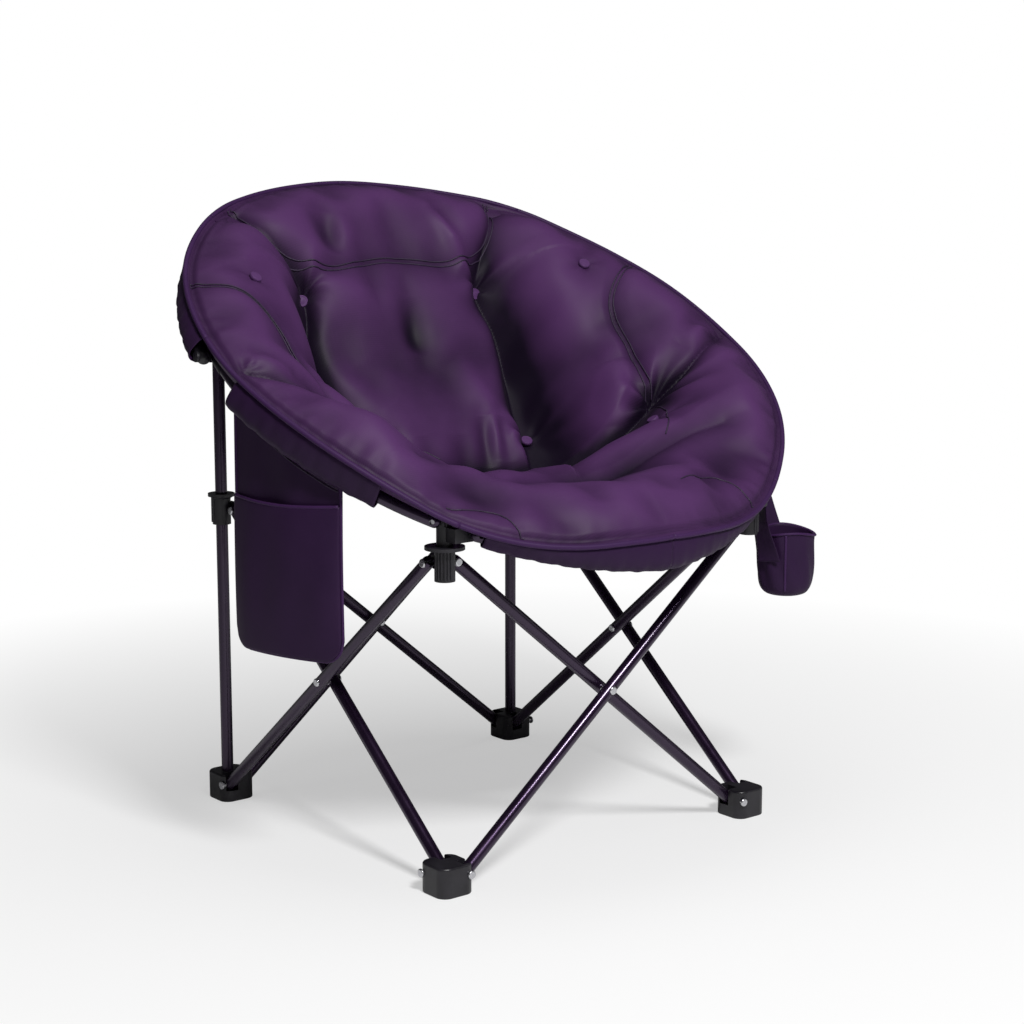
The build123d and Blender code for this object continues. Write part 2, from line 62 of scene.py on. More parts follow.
# %% Ring frame
SHIFT_Y = 0.0155                # the CAD source moves its pieces by this before it saves them
RIM_R = 0.395
RIM_CENTRE = np.array([0.0, SHIFT_Y - 0.0107, 0.607])
TILT = math.radians(31.5)
ACROSS = np.array([1.0, 0.0, 0.0])
UP_SLOPE = np.array([0.0, math.cos(TILT), math.sin(TILT)])
NORMAL = np.array([0.0, -math.sin(TILT), math.cos(TILT)])
CORNER_T = math.degrees(math.asin(0.25 / RIM_R))
SIDE_T = 82.98
PIVOT_STEP = 3.8
LAP_SIDE, LAP_MIDDLE = 0.0095, 0.0125

# each tube: turn of its pivot, turn of its hinge, radial offset there, seat panel's two turns
ARCS = {}
for side_name, side in (("left", -1), ("right", 1)):
    ARCS["front_" + side_name] = (
        side * (180 - CORNER_T + PIVOT_STEP), side * 180, side * LAP_MIDDLE,
        side * (180 - CORNER_T), side * 180)
    ARCS["side_front_" + side_name] = (
        side * (180 - CORNER_T - PIVOT_STEP), side * SIDE_T, -LAP_SIDE,
        side * (180 - CORNER_T), side * SIDE_T)
    ARCS["side_rear_" + side_name] = (
        side * (CORNER_T + PIVOT_STEP), side * SIDE_T, LAP_SIDE, side * CORNER_T, side * SIDE_T)
    ARCS["back_" + side_name] = (
        side * (CORNER_T - PIVOT_STEP), 0.0, side * LAP_MIDDLE, side * CORNER_T, 0.0)


def to_row(x, y, z):
    """Ring-plane coordinates to the frame's: centre + x across + y up the slope + z normal."""
    x, y, z = np.broadcast_arrays(x, y, z)
    return RIM_CENTRE + x[..., None] * ACROSS + y[..., None] * UP_SLOPE + z[..., None] * NORMAL


def on_ring(turn, radius, height):
    """Point at a turn (degrees), a radius and a height over the ring's plane."""
    a = np.radians(turn)
    return to_row(radius * np.sin(a), radius * np.cos(a), height)


def lap(name, turn):
    """Radial offset of a tube's centre line: 0 at its pivot, full at its hinge."""
    pivot, tip, offset = ARCS[name][:3]
    return offset * np.clip((np.asarray(turn, float) - pivot) / (tip - pivot), 0, 1)


print("ring", len(ARCS), "tubes, corner turn", round(CORNER_T, 2))

# %% [markdown]
# ## Mesh helpers
# Each soft piece is a grid of points over two parameters, worked out as one numpy array and
# turned into quads. Modelling the same folds by hand would take many more steps, and a formula
# keeps neighbouring pieces on exactly the same surface.


# %% Grids and tubes
def new_mesh(name, points, faces, material, normals=None, flat_uv=None, painted_shading=None):
    """Mesh object at the origin from points (n, 3) and arrays of face indices.

    flat_uv gives every point its place on the flat cloth, in metres, for the weave; the last
    argument says how far it lies below its surroundings, for painted shade and painted light.
    """
    mesh = bpy.data.meshes.new(name)
    polygons = [face for group in faces for face in np.asarray(group).tolist()]
    mesh.from_pydata(np.asarray(points, float).tolist(), [], polygons)
    mesh.polygons.foreach_set("use_smooth", np.ones(len(mesh.polygons), bool))
    if flat_uv is not None:
        corner_point = np.empty(len(mesh.loops), np.int32)
        mesh.loops.foreach_get("vertex_index", corner_point)
        layer = mesh.uv_layers.new(name="cloth")
        layer.uv.foreach_set("vector", np.asarray(flat_uv, np.float32)[corner_point].ravel())
    # painted shading: how far each point lies below its surroundings, read by the base colour
    if painted_shading is not None:
        layer = mesh.attributes.new("painted_shading", "FLOAT", "POINT")
        layer.data.foreach_set("value", np.asarray(painted_shading, np.float32))
    mesh.update()
    if normals is not None:
        mesh.normals_split_custom_set_from_vertices(np.asarray(normals, float).tolist())
    obj = bpy.data.objects.new(name, mesh)
    bpy.context.scene.collection.objects.link(obj)
    obj.data.materials.append(material)
    return obj


def grid_faces(rows, columns, wrap=False, flip=False):
    """Quads (n, 4) of a rows x columns grid; wrap joins the last column to the first."""
    i, j = np.meshgrid(np.arange(rows - 1), np.arange(columns if wrap else columns - 1),
                       indexing="ij")
    k = (j + 1) % columns
    quads = np.stack([i * columns + j, i * columns + k,
                      (i + 1) * columns + k, (i + 1) * columns + j], -1).reshape(-1, 4)
    return quads[:, ::-1] if flip else quads


def unit(v):
    """Vectors scaled to length 1."""
    return v / np.maximum(np.linalg.norm(v, axis=-1, keepdims=True), 1e-12)


def length_along(path):
    """Running length of a path of points, from 0."""
    steps = np.linalg.norm(np.diff(path, axis=0), axis=1)
    return np.concatenate([[0.0], np.cumsum(steps)])


def sweep(path, up, profile):
    """Closed tube: a profile of (sideways, up) offsets carried along a path of points.

    point(i, j) = path(i) + profile(i, j)[0] side(i) + profile(i, j)[1] lift(i), where side is
    across both the path and the up direction, and lift is across the path and side. A middle
    point closes each end.
    """
    path = np.asarray(path, float)
    tangent = unit(np.gradient(path, axis=0))
    side = unit(np.cross(tangent, np.broadcast_to(up, path.shape)))
    lift = np.cross(side, tangent)
    profile = np.broadcast_to(profile, (len(path),) + np.shape(profile)[-2:])
    ring = (path[:, None] + profile[..., :1] * side[:, None] + profile[..., 1:] * lift[:, None])
    count = ring.shape[1]
    points = np.vstack([ring.reshape(-1, 3), path[:1], path[-1:]])
    j = np.arange(count)
    k = (j + 1) % count
    base = (len(path) - 1) * count
    first, last = np.full(count, len(points) - 2), np.full(count, len(points) - 1)
    return points, [grid_faces(len(path), count, wrap=True, flip=True),
                    np.stack([first, j, k], 1), np.stack([last, base + k, base + j], 1)]


def round_profile(radius, sides=10, squeeze=1.0):
    """Profile of a round cord: radius (cos a, squeeze sin a)."""
    a = np.linspace(0, 2 * np.pi, sides, endpoint=False)
    circle = np.stack([np.cos(a), squeeze * np.sin(a)], 1)
    return np.asarray(radius, float)[..., None, None] * circle


def join(parts):
    """One points array and one list of face arrays from several parts."""
    sizes = np.cumsum([0] + [len(points) for points, _ in parts])
    faces = [np.asarray(group) + start for (_, groups), start in zip(parts, sizes)
             for group in groups]
    return np.vstack([points for points, _ in parts]), faces


def smooth_path(knots, step=0.004):
    """Catmull-Rom curve through the knots, resampled at an even step."""
    knots = np.asarray(knots, float)
    padded = np.vstack([2 * knots[0] - knots[1], knots, 2 * knots[-1] - knots[-2]])
    a, b, c, d = padded[:-3, None], padded[1:-2, None], padded[2:-1, None], padded[3:, None]
    w = np.linspace(0, 1, 24, endpoint=False)[None, :, None]
    curve = 0.5 * (2 * b + (c - a) * w + (2 * a - 5 * b + 4 * c - d) * w ** 2
                   + (3 * b - a - 3 * c + d) * w ** 3)
    curve = np.vstack([curve.reshape(-1, knots.shape[1]), knots[-1:]])
    length = length_along(curve)
    even = np.linspace(0, length[-1], max(3, int(length[-1] / step)))
    return np.stack([np.interp(even, length, column) for column in curve.T], 1)


def through(stations, values, at):
    """Smooth curve through stations: cubic Hermite with central slopes, level at the start."""
    slopes = np.gradient(values, stations)
    slopes[0] = 0.0
    at = np.clip(at, stations[0], stations[-1])
    i = np.clip(np.searchsorted(stations, at) - 1, 0, len(stations) - 2)
    h = stations[i + 1] - stations[i]
    w = (at - stations[i]) / h
    return ((1 + 2 * w) * (1 - w) ** 2 * values[i] + w * (1 - w) ** 2 * h * slopes[i]
            + w ** 2 * (3 - 2 * w) * values[i + 1] + w ** 2 * (w - 1) * h * slopes[i + 1])


def fade(x, low, high):
    """Smooth step: 0 below low, 1 above high, 3 w^2 - 2 w^3 between."""
    w = np.clip((x - low) / (high - low), 0, 1)
    return w * w * (3 - 2 * w)


print("helpers ready")

# %% [markdown]
# ## Shader maths
# A finish is a Principled shader fed by a few textures. Wiring each Math node by hand hides the
# idea, so a small class wraps a socket: adding and multiplying such signals adds the nodes.


# %% Signals and paints
class Signal:
    """A node's output that can be added, subtracted, multiplied and spread."""

    def __init__(self, paint, socket):
        self.paint, self.socket = paint, socket

    def math(self, operation, first, second):
        return self.paint.node("ShaderNodeMath", {"operation": operation}, {0: first, 1: second})

    def __add__(self, other):
        return self.math("ADD", self, other)

    def __sub__(self, other):
        return self.math("SUBTRACT", self, other)

    def __rsub__(self, other):
        return self.math("SUBTRACT", other, self)

    def __mul__(self, other):
        return self.math("MULTIPLY", self, other)

    def spread(self, low, high, to_low=0.0, to_high=1.0):
        """Map low..high to to_low..to_high, held at both ends."""
        return self.paint.node("ShaderNodeMapRange", {}, {
            "Value": self, "From Min": low, "From Max": high, "To Min": to_low,
            "To Max": to_high})

    __radd__, __rmul__ = __add__, __mul__


class Paint:
    """A material with one Principled shader; keyword arguments set the shader's own sockets."""

    def __init__(self, name, color, roughness, **sockets):
        self.material = bpy.data.materials.new(name)
        self.material.use_nodes = True
        self.tree = self.material.node_tree
        self.shader = self.tree.nodes["Principled BSDF"]
        self.shader.inputs["Base Color"].default_value = (*color, 1.0)
        self.shader.inputs["Roughness"].default_value = roughness
        for key, value in sockets.items():
            self.shader.inputs[key.replace("_", " ")].default_value = value
        self.place = self.node("ShaderNodeTexCoord", {}, {}, "Object")

    def node(self, kind, settings, inputs, output=0):
        """Any node: its settings first, then a value or a link for each input."""
        node = self.tree.nodes.new(kind)
        for key, value in settings.items():
            setattr(node, key, value)
        for key, value in inputs.items():
            if isinstance(value, Signal):
                self.tree.links.new(value.socket, node.inputs[key])
            else:
                node.inputs[key].default_value = value
        return Signal(self, node.outputs[output])

    def noise(self, scale, detail=3.0, roughness=0.5, at=None):
        return self.node("ShaderNodeTexNoise", {}, {
            "Vector": at or self.place, "Scale": scale, "Detail": detail,
            "Roughness": roughness})

    def bands(self, period, direction, at=None, distortion=0.0):
        """Sine bands with a period in metres (a Wave texture's period is pi / 10 / scale)."""
        return self.node("ShaderNodeTexWave", {"bands_direction": direction}, {
            "Vector": at or self.place, "Scale": math.pi / 10 / period,
            "Distortion": distortion}, "Fac")

    def feed(self, key, signal):
        self.tree.links.new(signal.socket, self.shader.inputs[key])

    def two_tone(self, signal, first, second):
        """Base colour blended from first (0) to second (1)."""
        self.feed("Base Color", self.node("ShaderNodeMix", {"data_type": "RGBA"}, {
            0: signal, 6: (*first, 1.0), 7: (*second, 1.0)}, 2))

    def relief(self, signal, distance, strength=1.0):
        """Bump of a height signal, distance metres from 0 to 1."""
        self.feed("Normal", self.node("ShaderNodeBump", {}, {
            "Strength": strength, "Distance": distance, "Height": signal}))


# %% [markdown]
# ## Finishes
# The cover is a tight polyester satin: a ribbed weave of about a millimetre and a half, a soft
# broad gloss, and cloudy creases where the wadding pushes through. The weave reads the flat
# cloth's own coordinates (a UV map in metres), so it bends with the folds. The tone also reads a
# point attribute, which is 1 at the bottom of a valley and below 0 on a crown: it paints shade
# into the valleys and light onto the crowns.


# %% Satin
def satin_paint(name, dark_and_shade, pale_and_lit, weave=0.0015, cloud=0.0012):
    """Ribbed satin: cloudy tone and creases, crossed weave, gloss that varies slowly."""
    paint = Paint(name, pale_and_lit, 0.5, Sheen_Weight=0.02, Sheen_Roughness=0.4,
                  Specular_IOR_Level=0.14)
    paint.shader.inputs["Sheen Tint"].default_value = (0.8, 0.55, 0.9, 1.0)
    cloth = paint.node("ShaderNodeUVMap", {"uv_map": "cloth"}, {})
    slow = paint.noise(7.0, 3.0, 0.5)
    creases = paint.noise(38.0, 3.0, 0.55)
    warp = paint.bands(weave, "X", cloth, 0.15)
    weft = paint.bands(weave * 1.5, "Y", cloth, 0.15)
    slub = paint.noise(900.0, 2.0, 0.6)
    weave_height = warp * 0.6 + weft * 0.4
    tone = slow * 0.45 + creases * 0.2 + weave_height * 0.2 + slub * 0.15
    # painted shading: the attribute darkens the base colour in valleys and lightens it on crowns
    painted_shading = paint.node("ShaderNodeAttribute", {"attribute_name": "painted_shading"}, {}, "Fac")
    paint.two_tone(tone.spread(0.3, 0.7) * 0.35 + 0.36 - painted_shading * 0.55, dark_and_shade, pale_and_lit)
    paint.feed("Roughness", (slow * 0.6 + slub * 0.4).spread(0.3, 0.7, 0.46, 0.60))
    paint.relief(slow * 0.7 + creases * 0.12 + weave_height * 0.05 + slub * 0.03, cloud, 0.7)
    return paint.material


# first colour: dark tone and painted shade; second: light tone and painted light on crowns
SATIN = satin_paint("seat_satin", (0.005, 0.002, 0.009), (0.072, 0.025, 0.098))
LINING = satin_paint("flat_satin", (0.008, 0.003, 0.014), (0.036, 0.012, 0.054), cloud=0.0006)
BINDING = satin_paint("bound_edge", (0.016, 0.005, 0.030), (0.060, 0.021, 0.090),
                      weave=0.0011, cloud=0.0002)
BUTTON = satin_paint("button_satin", (0.030, 0.011, 0.050), (0.120, 0.048, 0.160), cloud=0.0002)


def thread_shade_paint():
    """Twisted polyester thread, darker than the cloth as painted seam shade, with a fine twist."""
    paint = Paint("seam_thread_painted_shade", (0.016, 0.006, 0.026), 0.6)
    twist = paint.noise(1400.0, 2.0, 0.6)
    paint.two_tone(twist.spread(0.35, 0.65), (0.010, 0.004, 0.018), (0.030, 0.011, 0.045))
    paint.feed("Roughness", twist.spread(0.3, 0.7, 0.5, 0.75))
    paint.relief(twist, 0.0002, 0.6)
    return paint.material


# %% [markdown]
# The tubes have a dark metallic purple powder coat: a fine speckle under a clear gloss, a little
# duller where hands and feet rub. The mouldings are black nylon with a fine spark-eroded grain,
# and the rivets are zinc-plated steel.


# %% Hard finishes
def tube_paint():
    """Metallic purple powder coat: speckle, orange peel, slow wear in the gloss."""
    paint = Paint("frame_purple", (0.050, 0.026, 0.070), 0.28, Metallic=0.7,
                  Coat_Weight=0.4, Coat_Roughness=0.1)
    speck = paint.noise(2400.0, 2.0, 0.7)
    wear = paint.noise(16.0, 4.0, 0.6)
    paint.two_tone(speck * 0.35 + wear * 0.65, (0.012, 0.005, 0.019), (0.042, 0.020, 0.057))
    paint.feed("Roughness", wear.spread(0.3, 0.7, 0.20, 0.38))
    paint.relief(speck * 0.4 + paint.noise(420.0) * 0.6, 0.00008, 0.6)
    return paint.material


def nylon_paint():
    """Black moulded nylon: fine grain, slightly paler where it has been rubbed."""
    paint = Paint("black_nylon", (0.010, 0.009, 0.012), 0.42)
    grain = paint.noise(1100.0, 2.0, 0.6)
    rub = paint.noise(22.0, 4.0, 0.6)
    paint.two_tone(rub.spread(0.35, 0.75), (0.006, 0.005, 0.008), (0.020, 0.018, 0.024))
    paint.feed("Roughness", (grain * 0.5 + rub * 0.5).spread(0.3, 0.7, 0.28, 0.52))
    paint.relief(grain, 0.0001, 0.5)
    return paint.material


def rivet_paint():
    """Zinc-plated steel, scuffed by the riveting tool."""
    paint = Paint("zinc_rivet", (0.60, 0.60, 0.63), 0.3, Metallic=1.0)
    scuff = paint.noise(700.0, 3.0, 0.7)
    paint.two_tone(scuff.spread(0.3, 0.7), (0.50, 0.50, 0.53), (0.68, 0.68, 0.70))
    paint.feed("Roughness", scuff.spread(0.3, 0.7, 0.2, 0.42))
    paint.relief(scuff, 0.00006, 0.5)
    return paint.material


# the thread's dark colour is painted shade of the seam grooves
THREAD_SHADE, TUBE, NYLON, RIVET = thread_shade_paint(), tube_paint(), nylon_paint(), rivet_paint()
TUBE_NODES = ("leg_tube", "post", "rim_front", "rim_side", "rim_back")
for node_name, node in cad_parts.items():
    finish = NYLON
    if node_name.startswith(TUBE_NODES):
        finish = TUBE
    elif node_name.startswith(("pins", "crossing")):
        finish = RIVET
    node.data.materials.clear()
    node.data.materials.append(finish)
print("finished", len(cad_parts), "CAD nodes")

# %% [markdown]
# ## The padded saucer
# The real seat is one quilted cover over thick wadding. It is pulled down along seams, pinched
# where the frame folds, and tied through at buttons. Separate cushions would show gaps, so one
# height z(x, y) over the ring's plane is worked out for the whole saucer, and the eight panels
# that follow the eight tubes are cut from that one surface.

# %% Edge of the saucer
# turn from the back, height of the sewn edge over the tube's centre line, crown inside the edge
EDGE = np.array([
    (0, 15.0, 2), (12, 14.5, 2), (24, 17.5, 2), (34, 22.5, 3), (42, 23.5, 3), (50, 22.0, 3),
    (62, 23.0, 5), (75, 26.0, 6), (85, 27.0, 2), (93, 28.5, 0), (101, 31.5, 4), (112, 33.0, 9),
    (121, 31.0, 12), (130, 25.0, 6), (138, 16.5, -14), (146, 13.0, -22), (154, 14.5, -12),
    (162, 20.0, -2), (171, 28.5, 4), (180, 32.5, 6)])
EDGE_TURN, EDGE_UP, EDGE_CROWN = EDGE[:, 0], EDGE[:, 1] / 1000, EDGE[:, 2] / 1000
EDGE_R, EDGE_FRONT_R = 0.4075, 0.4035
SKIRT_R, SKIRT_SWELL = 0.4062, 0.0146      # the sleeve's radius, and its swell over a hinge cap


def from_back(turn):
    """Turn counted from the back, 0 to 180, the same on both sides."""
    return np.abs((np.asarray(turn, float) + 180) % 360 - 180)


def near_hinge(turn):
    """1 at the four hinges of the ring, 0 at its four corners, even between."""
    t = from_back(turn)
    front_corner = 180 - CORNER_T
    share = np.where(t < CORNER_T, 1 - t / CORNER_T,
                     np.where(t > front_corner, (t - front_corner) / CORNER_T,
                              np.where(t < SIDE_T, (t - CORNER_T) / (SIDE_T - CORNER_T),
                                       (front_corner - t) / (front_corner - SIDE_T))))
    return np.clip(share, 0, 1)


def edge_radius(turn):
    """Radius of the sewn edge: a circle, drawn in a little along the front."""
    return EDGE_R + (EDGE_FRONT_R - EDGE_R) * fade(from_back(turn), 150.0, 178.0)


def edge_height(turn):
    return through(EDGE_TURN, EDGE_UP, from_back(turn))


def skirt_radius(turn):
    """Outer radius of the sleeve at the tube's level; it swells over the hinge caps."""
    return SKIRT_R + SKIRT_SWELL * near_hinge(turn) ** 1.5


print("edge between", EDGE_UP.min(), "and", EDGE_UP.max(), "m over the tubes")

# %% [markdown]
# A crease is a path with a depth and a half width on each side of it. The wadding falls to it as
# exp(-distance / half width), so the bottom is sharp and the shoulders are round. Loose folds are
# long bumps or dents between two points. Around a tied point the cloth gathers in a star, a
# cosine of the angle that fades with distance.

# %% Creases, folds and ties
# knots on the right half, except for the lap seams, which differ from side to side
BACK_CREASE = [(0.222, 0.335), (0.185, 0.280), (0.146, 0.222), (0.157, 0.160), (0.155, 0.105),
               (0.145, 0.047), (0.138, 0.006), (0.115, -0.055)]
PINCH = [(0.402, -0.014), (0.360, -0.036), (0.313, -0.060), (0.266, -0.069)]
SEAT_EDGE = [(0.266, -0.069), (0.205, -0.092), (0.155, -0.084), (0.115, -0.055)]
WING_SEAM = [(0.384, 0.178), (0.352, 0.153), (0.310, 0.124), (0.286, 0.100), (0.276, 0.072),
             (0.270, 0.020), (0.262, -0.034), (0.260, -0.064)]
HEAD_SEAM = [(0.222, 0.352), (0.203, 0.303), (0.177, 0.266), (0.150, 0.248), (0.118, 0.241),
             (0.077, 0.243), (0.035, 0.251), (0.0, 0.253)]
SEAT_VALLEY = [(0.115, -0.055), (0.055, -0.052), (0.0, -0.050), (-0.055, -0.052),
               (-0.115, -0.055)]
LAP_VALLEY = [(0.250, -0.205), (0.190, -0.196), (0.110, -0.200), (0.0, -0.204), (-0.110, -0.200),
              (-0.190, -0.196), (-0.250, -0.205)]
LAP_SEAM_RIGHT = [(0.075, -0.318), (0.112, -0.306), (0.150, -0.300), (0.168, -0.312),
                  (0.176, -0.336), (0.186, -0.360)]
LAP_SEAM_LEFT = [(-0.262, -0.290), (-0.245, -0.296), (-0.215, -0.300), (-0.199, -0.312),
                 (-0.192, -0.336), (-0.189, -0.364)]
SIDE_SEAM = [(0.256, -0.086), (0.238, -0.118), (0.212, -0.148), (0.186, -0.176)]


def mirrored(points):
    return [(-x, y) for x, y in points]


# path, depth at its start and end, half width to the left and right of its direction
CREASES = []
for knots, depths, left, right in (
        (BACK_CREASE, (0.022, 0.064), 0.050, 0.015), (PINCH, (0.012, 0.040), 0.014, 0.018),
        (SEAT_EDGE, (0.036, 0.054), 0.032, 0.024), (WING_SEAM, (0.004, 0.018), 0.014, 0.018)):
    CREASES.append((smooth_path(knots, 0.012), depths, left, right))
    CREASES.append((smooth_path(mirrored(knots), 0.012), depths, right, left))
WHOLE_HEAD_SEAM = HEAD_SEAM + mirrored(HEAD_SEAM)[-2::-1]
CREASES.append((smooth_path(SEAT_VALLEY, 0.012), (0.054, 0.054), 0.022, 0.028))
CREASES.append((smooth_path(LAP_VALLEY, 0.012), (0.014, 0.014), 0.028, 0.030))
CREASES.append((smooth_path(WHOLE_HEAD_SEAM, 0.012), (0.008, 0.008), 0.014, 0.018))
for knots in (LAP_SEAM_RIGHT, LAP_SEAM_LEFT, SIDE_SEAM, mirrored(SIDE_SEAM)):
    CREASES.append((smooth_path(knots, 0.012), (0.004, 0.004), 0.010, 0.010))

# both ends, height (minus is a dent), half width
FOLDS = [
    (0.093, 0.320, 0.128, 0.222, 0.0085, 0.011), (0.110, 0.330, 0.119, 0.262, -0.0059, 0.018),
    (-0.083, 0.322, -0.092, 0.252, -0.0136, 0.021), (-0.058, 0.318, -0.064, 0.258, 0.0059, 0.018),
    (-0.158, 0.200, -0.030, 0.206, 0.0085, 0.024), (0.012, 0.212, 0.006, 0.130, -0.0140, 0.020),
    (-0.100, 0.130, -0.070, 0.060, -0.0060, 0.024), (0.060, 0.130, 0.085, 0.030, 0.0060, 0.022),
    (0.066, 0.040, 0.050, -0.036, -0.0136, 0.015), (0.094, 0.036, 0.078, -0.036, -0.0102, 0.013),
    (0.080, 0.044, 0.066, -0.030, 0.0051, 0.011), (0.020, 0.020, 0.012, -0.040, -0.0068, 0.018),
    (-0.050, 0.020, -0.040, -0.040, -0.0068, 0.018),
    (-0.094, 0.036, -0.078, -0.036, -0.0085, 0.017), (0.246, 0.020, 0.190, -0.080, 0.0260, 0.022),
    (-0.246, 0.020, -0.190, -0.080, 0.0260, 0.022), (0.222, 0.250, 0.205, 0.040, 0.0120, 0.036),
    (-0.222, 0.250, -0.205, 0.040, 0.0120, 0.036), (0.262, -0.070, 0.380, 0.020, -0.0119, 0.017),
    (-0.262, -0.070, -0.380, 0.020, -0.0119, 0.017), (0.262, -0.078, 0.372, -0.096, -0.0085, 0.018),
    (-0.262, -0.078, -0.372, -0.096, -0.0085, 0.018), (0.372, -0.004, 0.316, -0.026, 0.0102, 0.013),
    (-0.372, -0.004, -0.316, -0.026, 0.0102, 0.013), (-0.234, -0.240, 0.077, -0.104, 0.0100, 0.022),
    (0.054, -0.208, 0.077, -0.110, -0.0068, 0.024), (0.080, -0.140, 0.230, -0.150, 0.0120, 0.026),
    (-0.100, -0.140, 0.020, -0.130, 0.0100, 0.026), (0.150, -0.280, 0.120, -0.345, -0.0059, 0.019),
    (0.050, -0.280, 0.035, -0.350, -0.0059, 0.021),
    (-0.060, -0.280, -0.075, -0.350, -0.0059, 0.019), (0.284, 0.174, 0.330, 0.214, -0.0034, 0.009),
]
# place, pull, lobes, lobe height, reach
TIES = [
    (0.146, 0.222, 0.010, 5, 0.0060, 0.030), (0.138, 0.006, 0.012, 6, 0.0060, 0.030),
    (0.276, 0.165, 0.007, 4, 0.0020, 0.018), (0.220, -0.123, 0.010, 5, 0.0040, 0.026),
    (0.262, -0.070, 0.012, 7, 0.0070, 0.048), (0.392, -0.018, 0.004, 6, 0.0030, 0.030),
]
BUTTON_COUNT = 4                # the first four ties on each side hold a button
BUTTON_TIES = [(side * x, y) for x, y, *_ in TIES[:BUTTON_COUNT] for side in (1, -1)]
TIES += [(-x, y, *rest) for x, y, *rest in TIES]


def to_path(x, y, path):
    """Distance to a path, share along it, and side of it: 1 to the left of its direction."""
    best = np.full(np.shape(x), 9.0)
    along, side = np.zeros(np.shape(x)), np.ones(np.shape(x))
    count = len(path) - 1
    for index, (a, b) in enumerate(zip(path[:-1], path[1:])):
        d = b - a
        w = np.clip(((x - a[0]) * d[0] + (y - a[1]) * d[1]) / max(d @ d, 1e-12), 0, 1)
        gap = np.hypot(x - a[0] - w * d[0], y - a[1] - w * d[1])
        nearer = gap < best
        best = np.where(nearer, gap, best)
        along = np.where(nearer, (index + w) / count, along)
        cross = d[0] * (y - a[1]) - d[1] * (x - a[0])
        side = np.where(nearer, np.sign(cross + 1e-15), side)
    return best, along, side


print(len(CREASES), "creases", len(FOLDS), "folds", len(TIES), "ties")

# %% Height of the saucer
# radius and height of the face and of the underside, from the middle out
FACE_R = np.array([0, 60, 120, 180, 220, 260, 290, 315, 338, 358, 375, 390, 404, 430]) / 1000
FACE_Z = np.array([-165, -157, -132, -92, -58, -18, 8, 23, 30, 31, 28, 23, 17, 9]) / 1000
UNDER_R = np.array([0, 70, 130, 190, 250, 310, 345, 371]) / 1000
UNDER_Z = np.array([-212, -196, -170, -136, -97, -54, -30, -12]) / 1000
EDGE_BASE = 0.0155              # FACE_Z at the sewn edge
GROOVE_IN, GROOVE_WIDE, GROOVE_DEEP = 0.0075, 0.0030, 0.0045


def seat_height(x, y):
    """Height of the saucer's face over the ring's plane.

    Base profile, lifted to the edge's own height, plus the crowns of the back and lap cushions
    and of the side rolls, minus the deepest crease, plus folds, tie stars, edge puckers and
    the slow unevenness of the wadding.
    """
    x, y = np.asarray(x, float), np.asarray(y, float)
    r, t = np.hypot(x, y), np.degrees(np.arctan2(x, y))
    inset = edge_radius(t) - r
    inner = np.clip(inset / 0.03, 0, 1)
    z = through(FACE_R, FACE_Z, r)
    z = z + (edge_height(t) - EDGE_BASE) * fade(r, 0.24, 0.405)
    crown = through(EDGE_TURN, EDGE_CROWN, from_back(t))
    z = z + crown * np.exp(-((r - 0.342) / 0.034) ** 2)
    z = z + 0.034 * np.exp(-(x / 0.115) ** 4 - ((y - 0.10) / 0.17) ** 4)
    z = z + 0.030 * np.exp(-(x / 0.25) ** 4 - ((y + 0.150) / 0.060) ** 2)
    z = z + 0.016 * np.exp(-(x / 0.21) ** 4 - ((y + 0.290) / 0.060) ** 2)
    z = z + 0.014 * np.exp(-((np.abs(x) - 0.23) / 0.05) ** 2 - ((y - 0.10) / 0.14) ** 2)
    drop = np.zeros(np.shape(x))
    for path, (deep_start, deep_end), left, right in CREASES:
        gap, along, side = to_path(x, y, path)
        width = np.where(side > 0, left, right)
        depth = deep_start + (deep_end - deep_start) * along
        drop = np.maximum(drop, depth * np.exp(-gap / width))
    z = z - drop * np.clip(inset / 0.02, 0.15, 1)
    for ax, ay, bx, by, height, width in FOLDS:
        gap, along, _ = to_path(x, y, np.array([(ax, ay), (bx, by)]))
        swell = np.sin(np.pi * np.clip(along, 0.08, 0.92)) * np.exp(-(gap / width) ** 2)
        z = z + height * swell * inner
    for tx, ty, pull, lobes, lobe, reach in TIES:
        gap = np.hypot(x - tx, y - ty)
        angle = np.arctan2(y - ty, x - tx)
        star = np.cos(lobes * angle + 40 * tx + 30 * ty + np.sin(2 * angle))
        z = z - pull * np.exp(-gap / 0.016) * inner
        z = z + lobe * star * np.exp(-gap / reach) * (1 - np.exp(-gap / 0.008)) * inner
    a = np.radians(t)
    pucker = np.sin(71 * a + 3 * np.sin(5 * a)) + 0.7 * np.sin(113 * a + 2 * np.sin(7 * a))
    near_edge = np.exp(-((inset - 0.018) / 0.013) ** 2)
    z = z + 0.0008 * pucker * near_edge * (0.6 + 0.4 * np.sin(3 * a + 1))
    slow = (np.sin(31 * x + 17 * y + 1.3) * np.sin(23 * y - 19 * x)
            + 0.5 * np.sin(57 * x - 41 * y + 0.4) * np.sin(47 * y + 39 * x + 2.0))
    z = z + 0.0022 * slow * inner
    return z - GROOVE_DEEP * np.exp(-((inset - GROOVE_IN) / GROOVE_WIDE) ** 2)


print("middle of the seat at", round(float(seat_height(0.0, -0.02)) * 1000), "mm")

# %% [markdown]
# ## Draping the cover
# A formula alone looks cast. So a sheet of cloth is laid on that height, held along its seams,
# ties and edge, given two percent more cloth than it needs and blown up from below, as wadding
# does. It puffs between the seams and wrinkles toward the ties. Its movement is kept as a field
# over x and y, capped, blurred a little so that only the broad forms stay, and added to the
# height wherever the seat's face is asked for.

# %% Cloth
SHEET_STEP = 0.006
SHEET_HALF = 0.426
MOST_MOVE = 0.009
FRAMES = 20


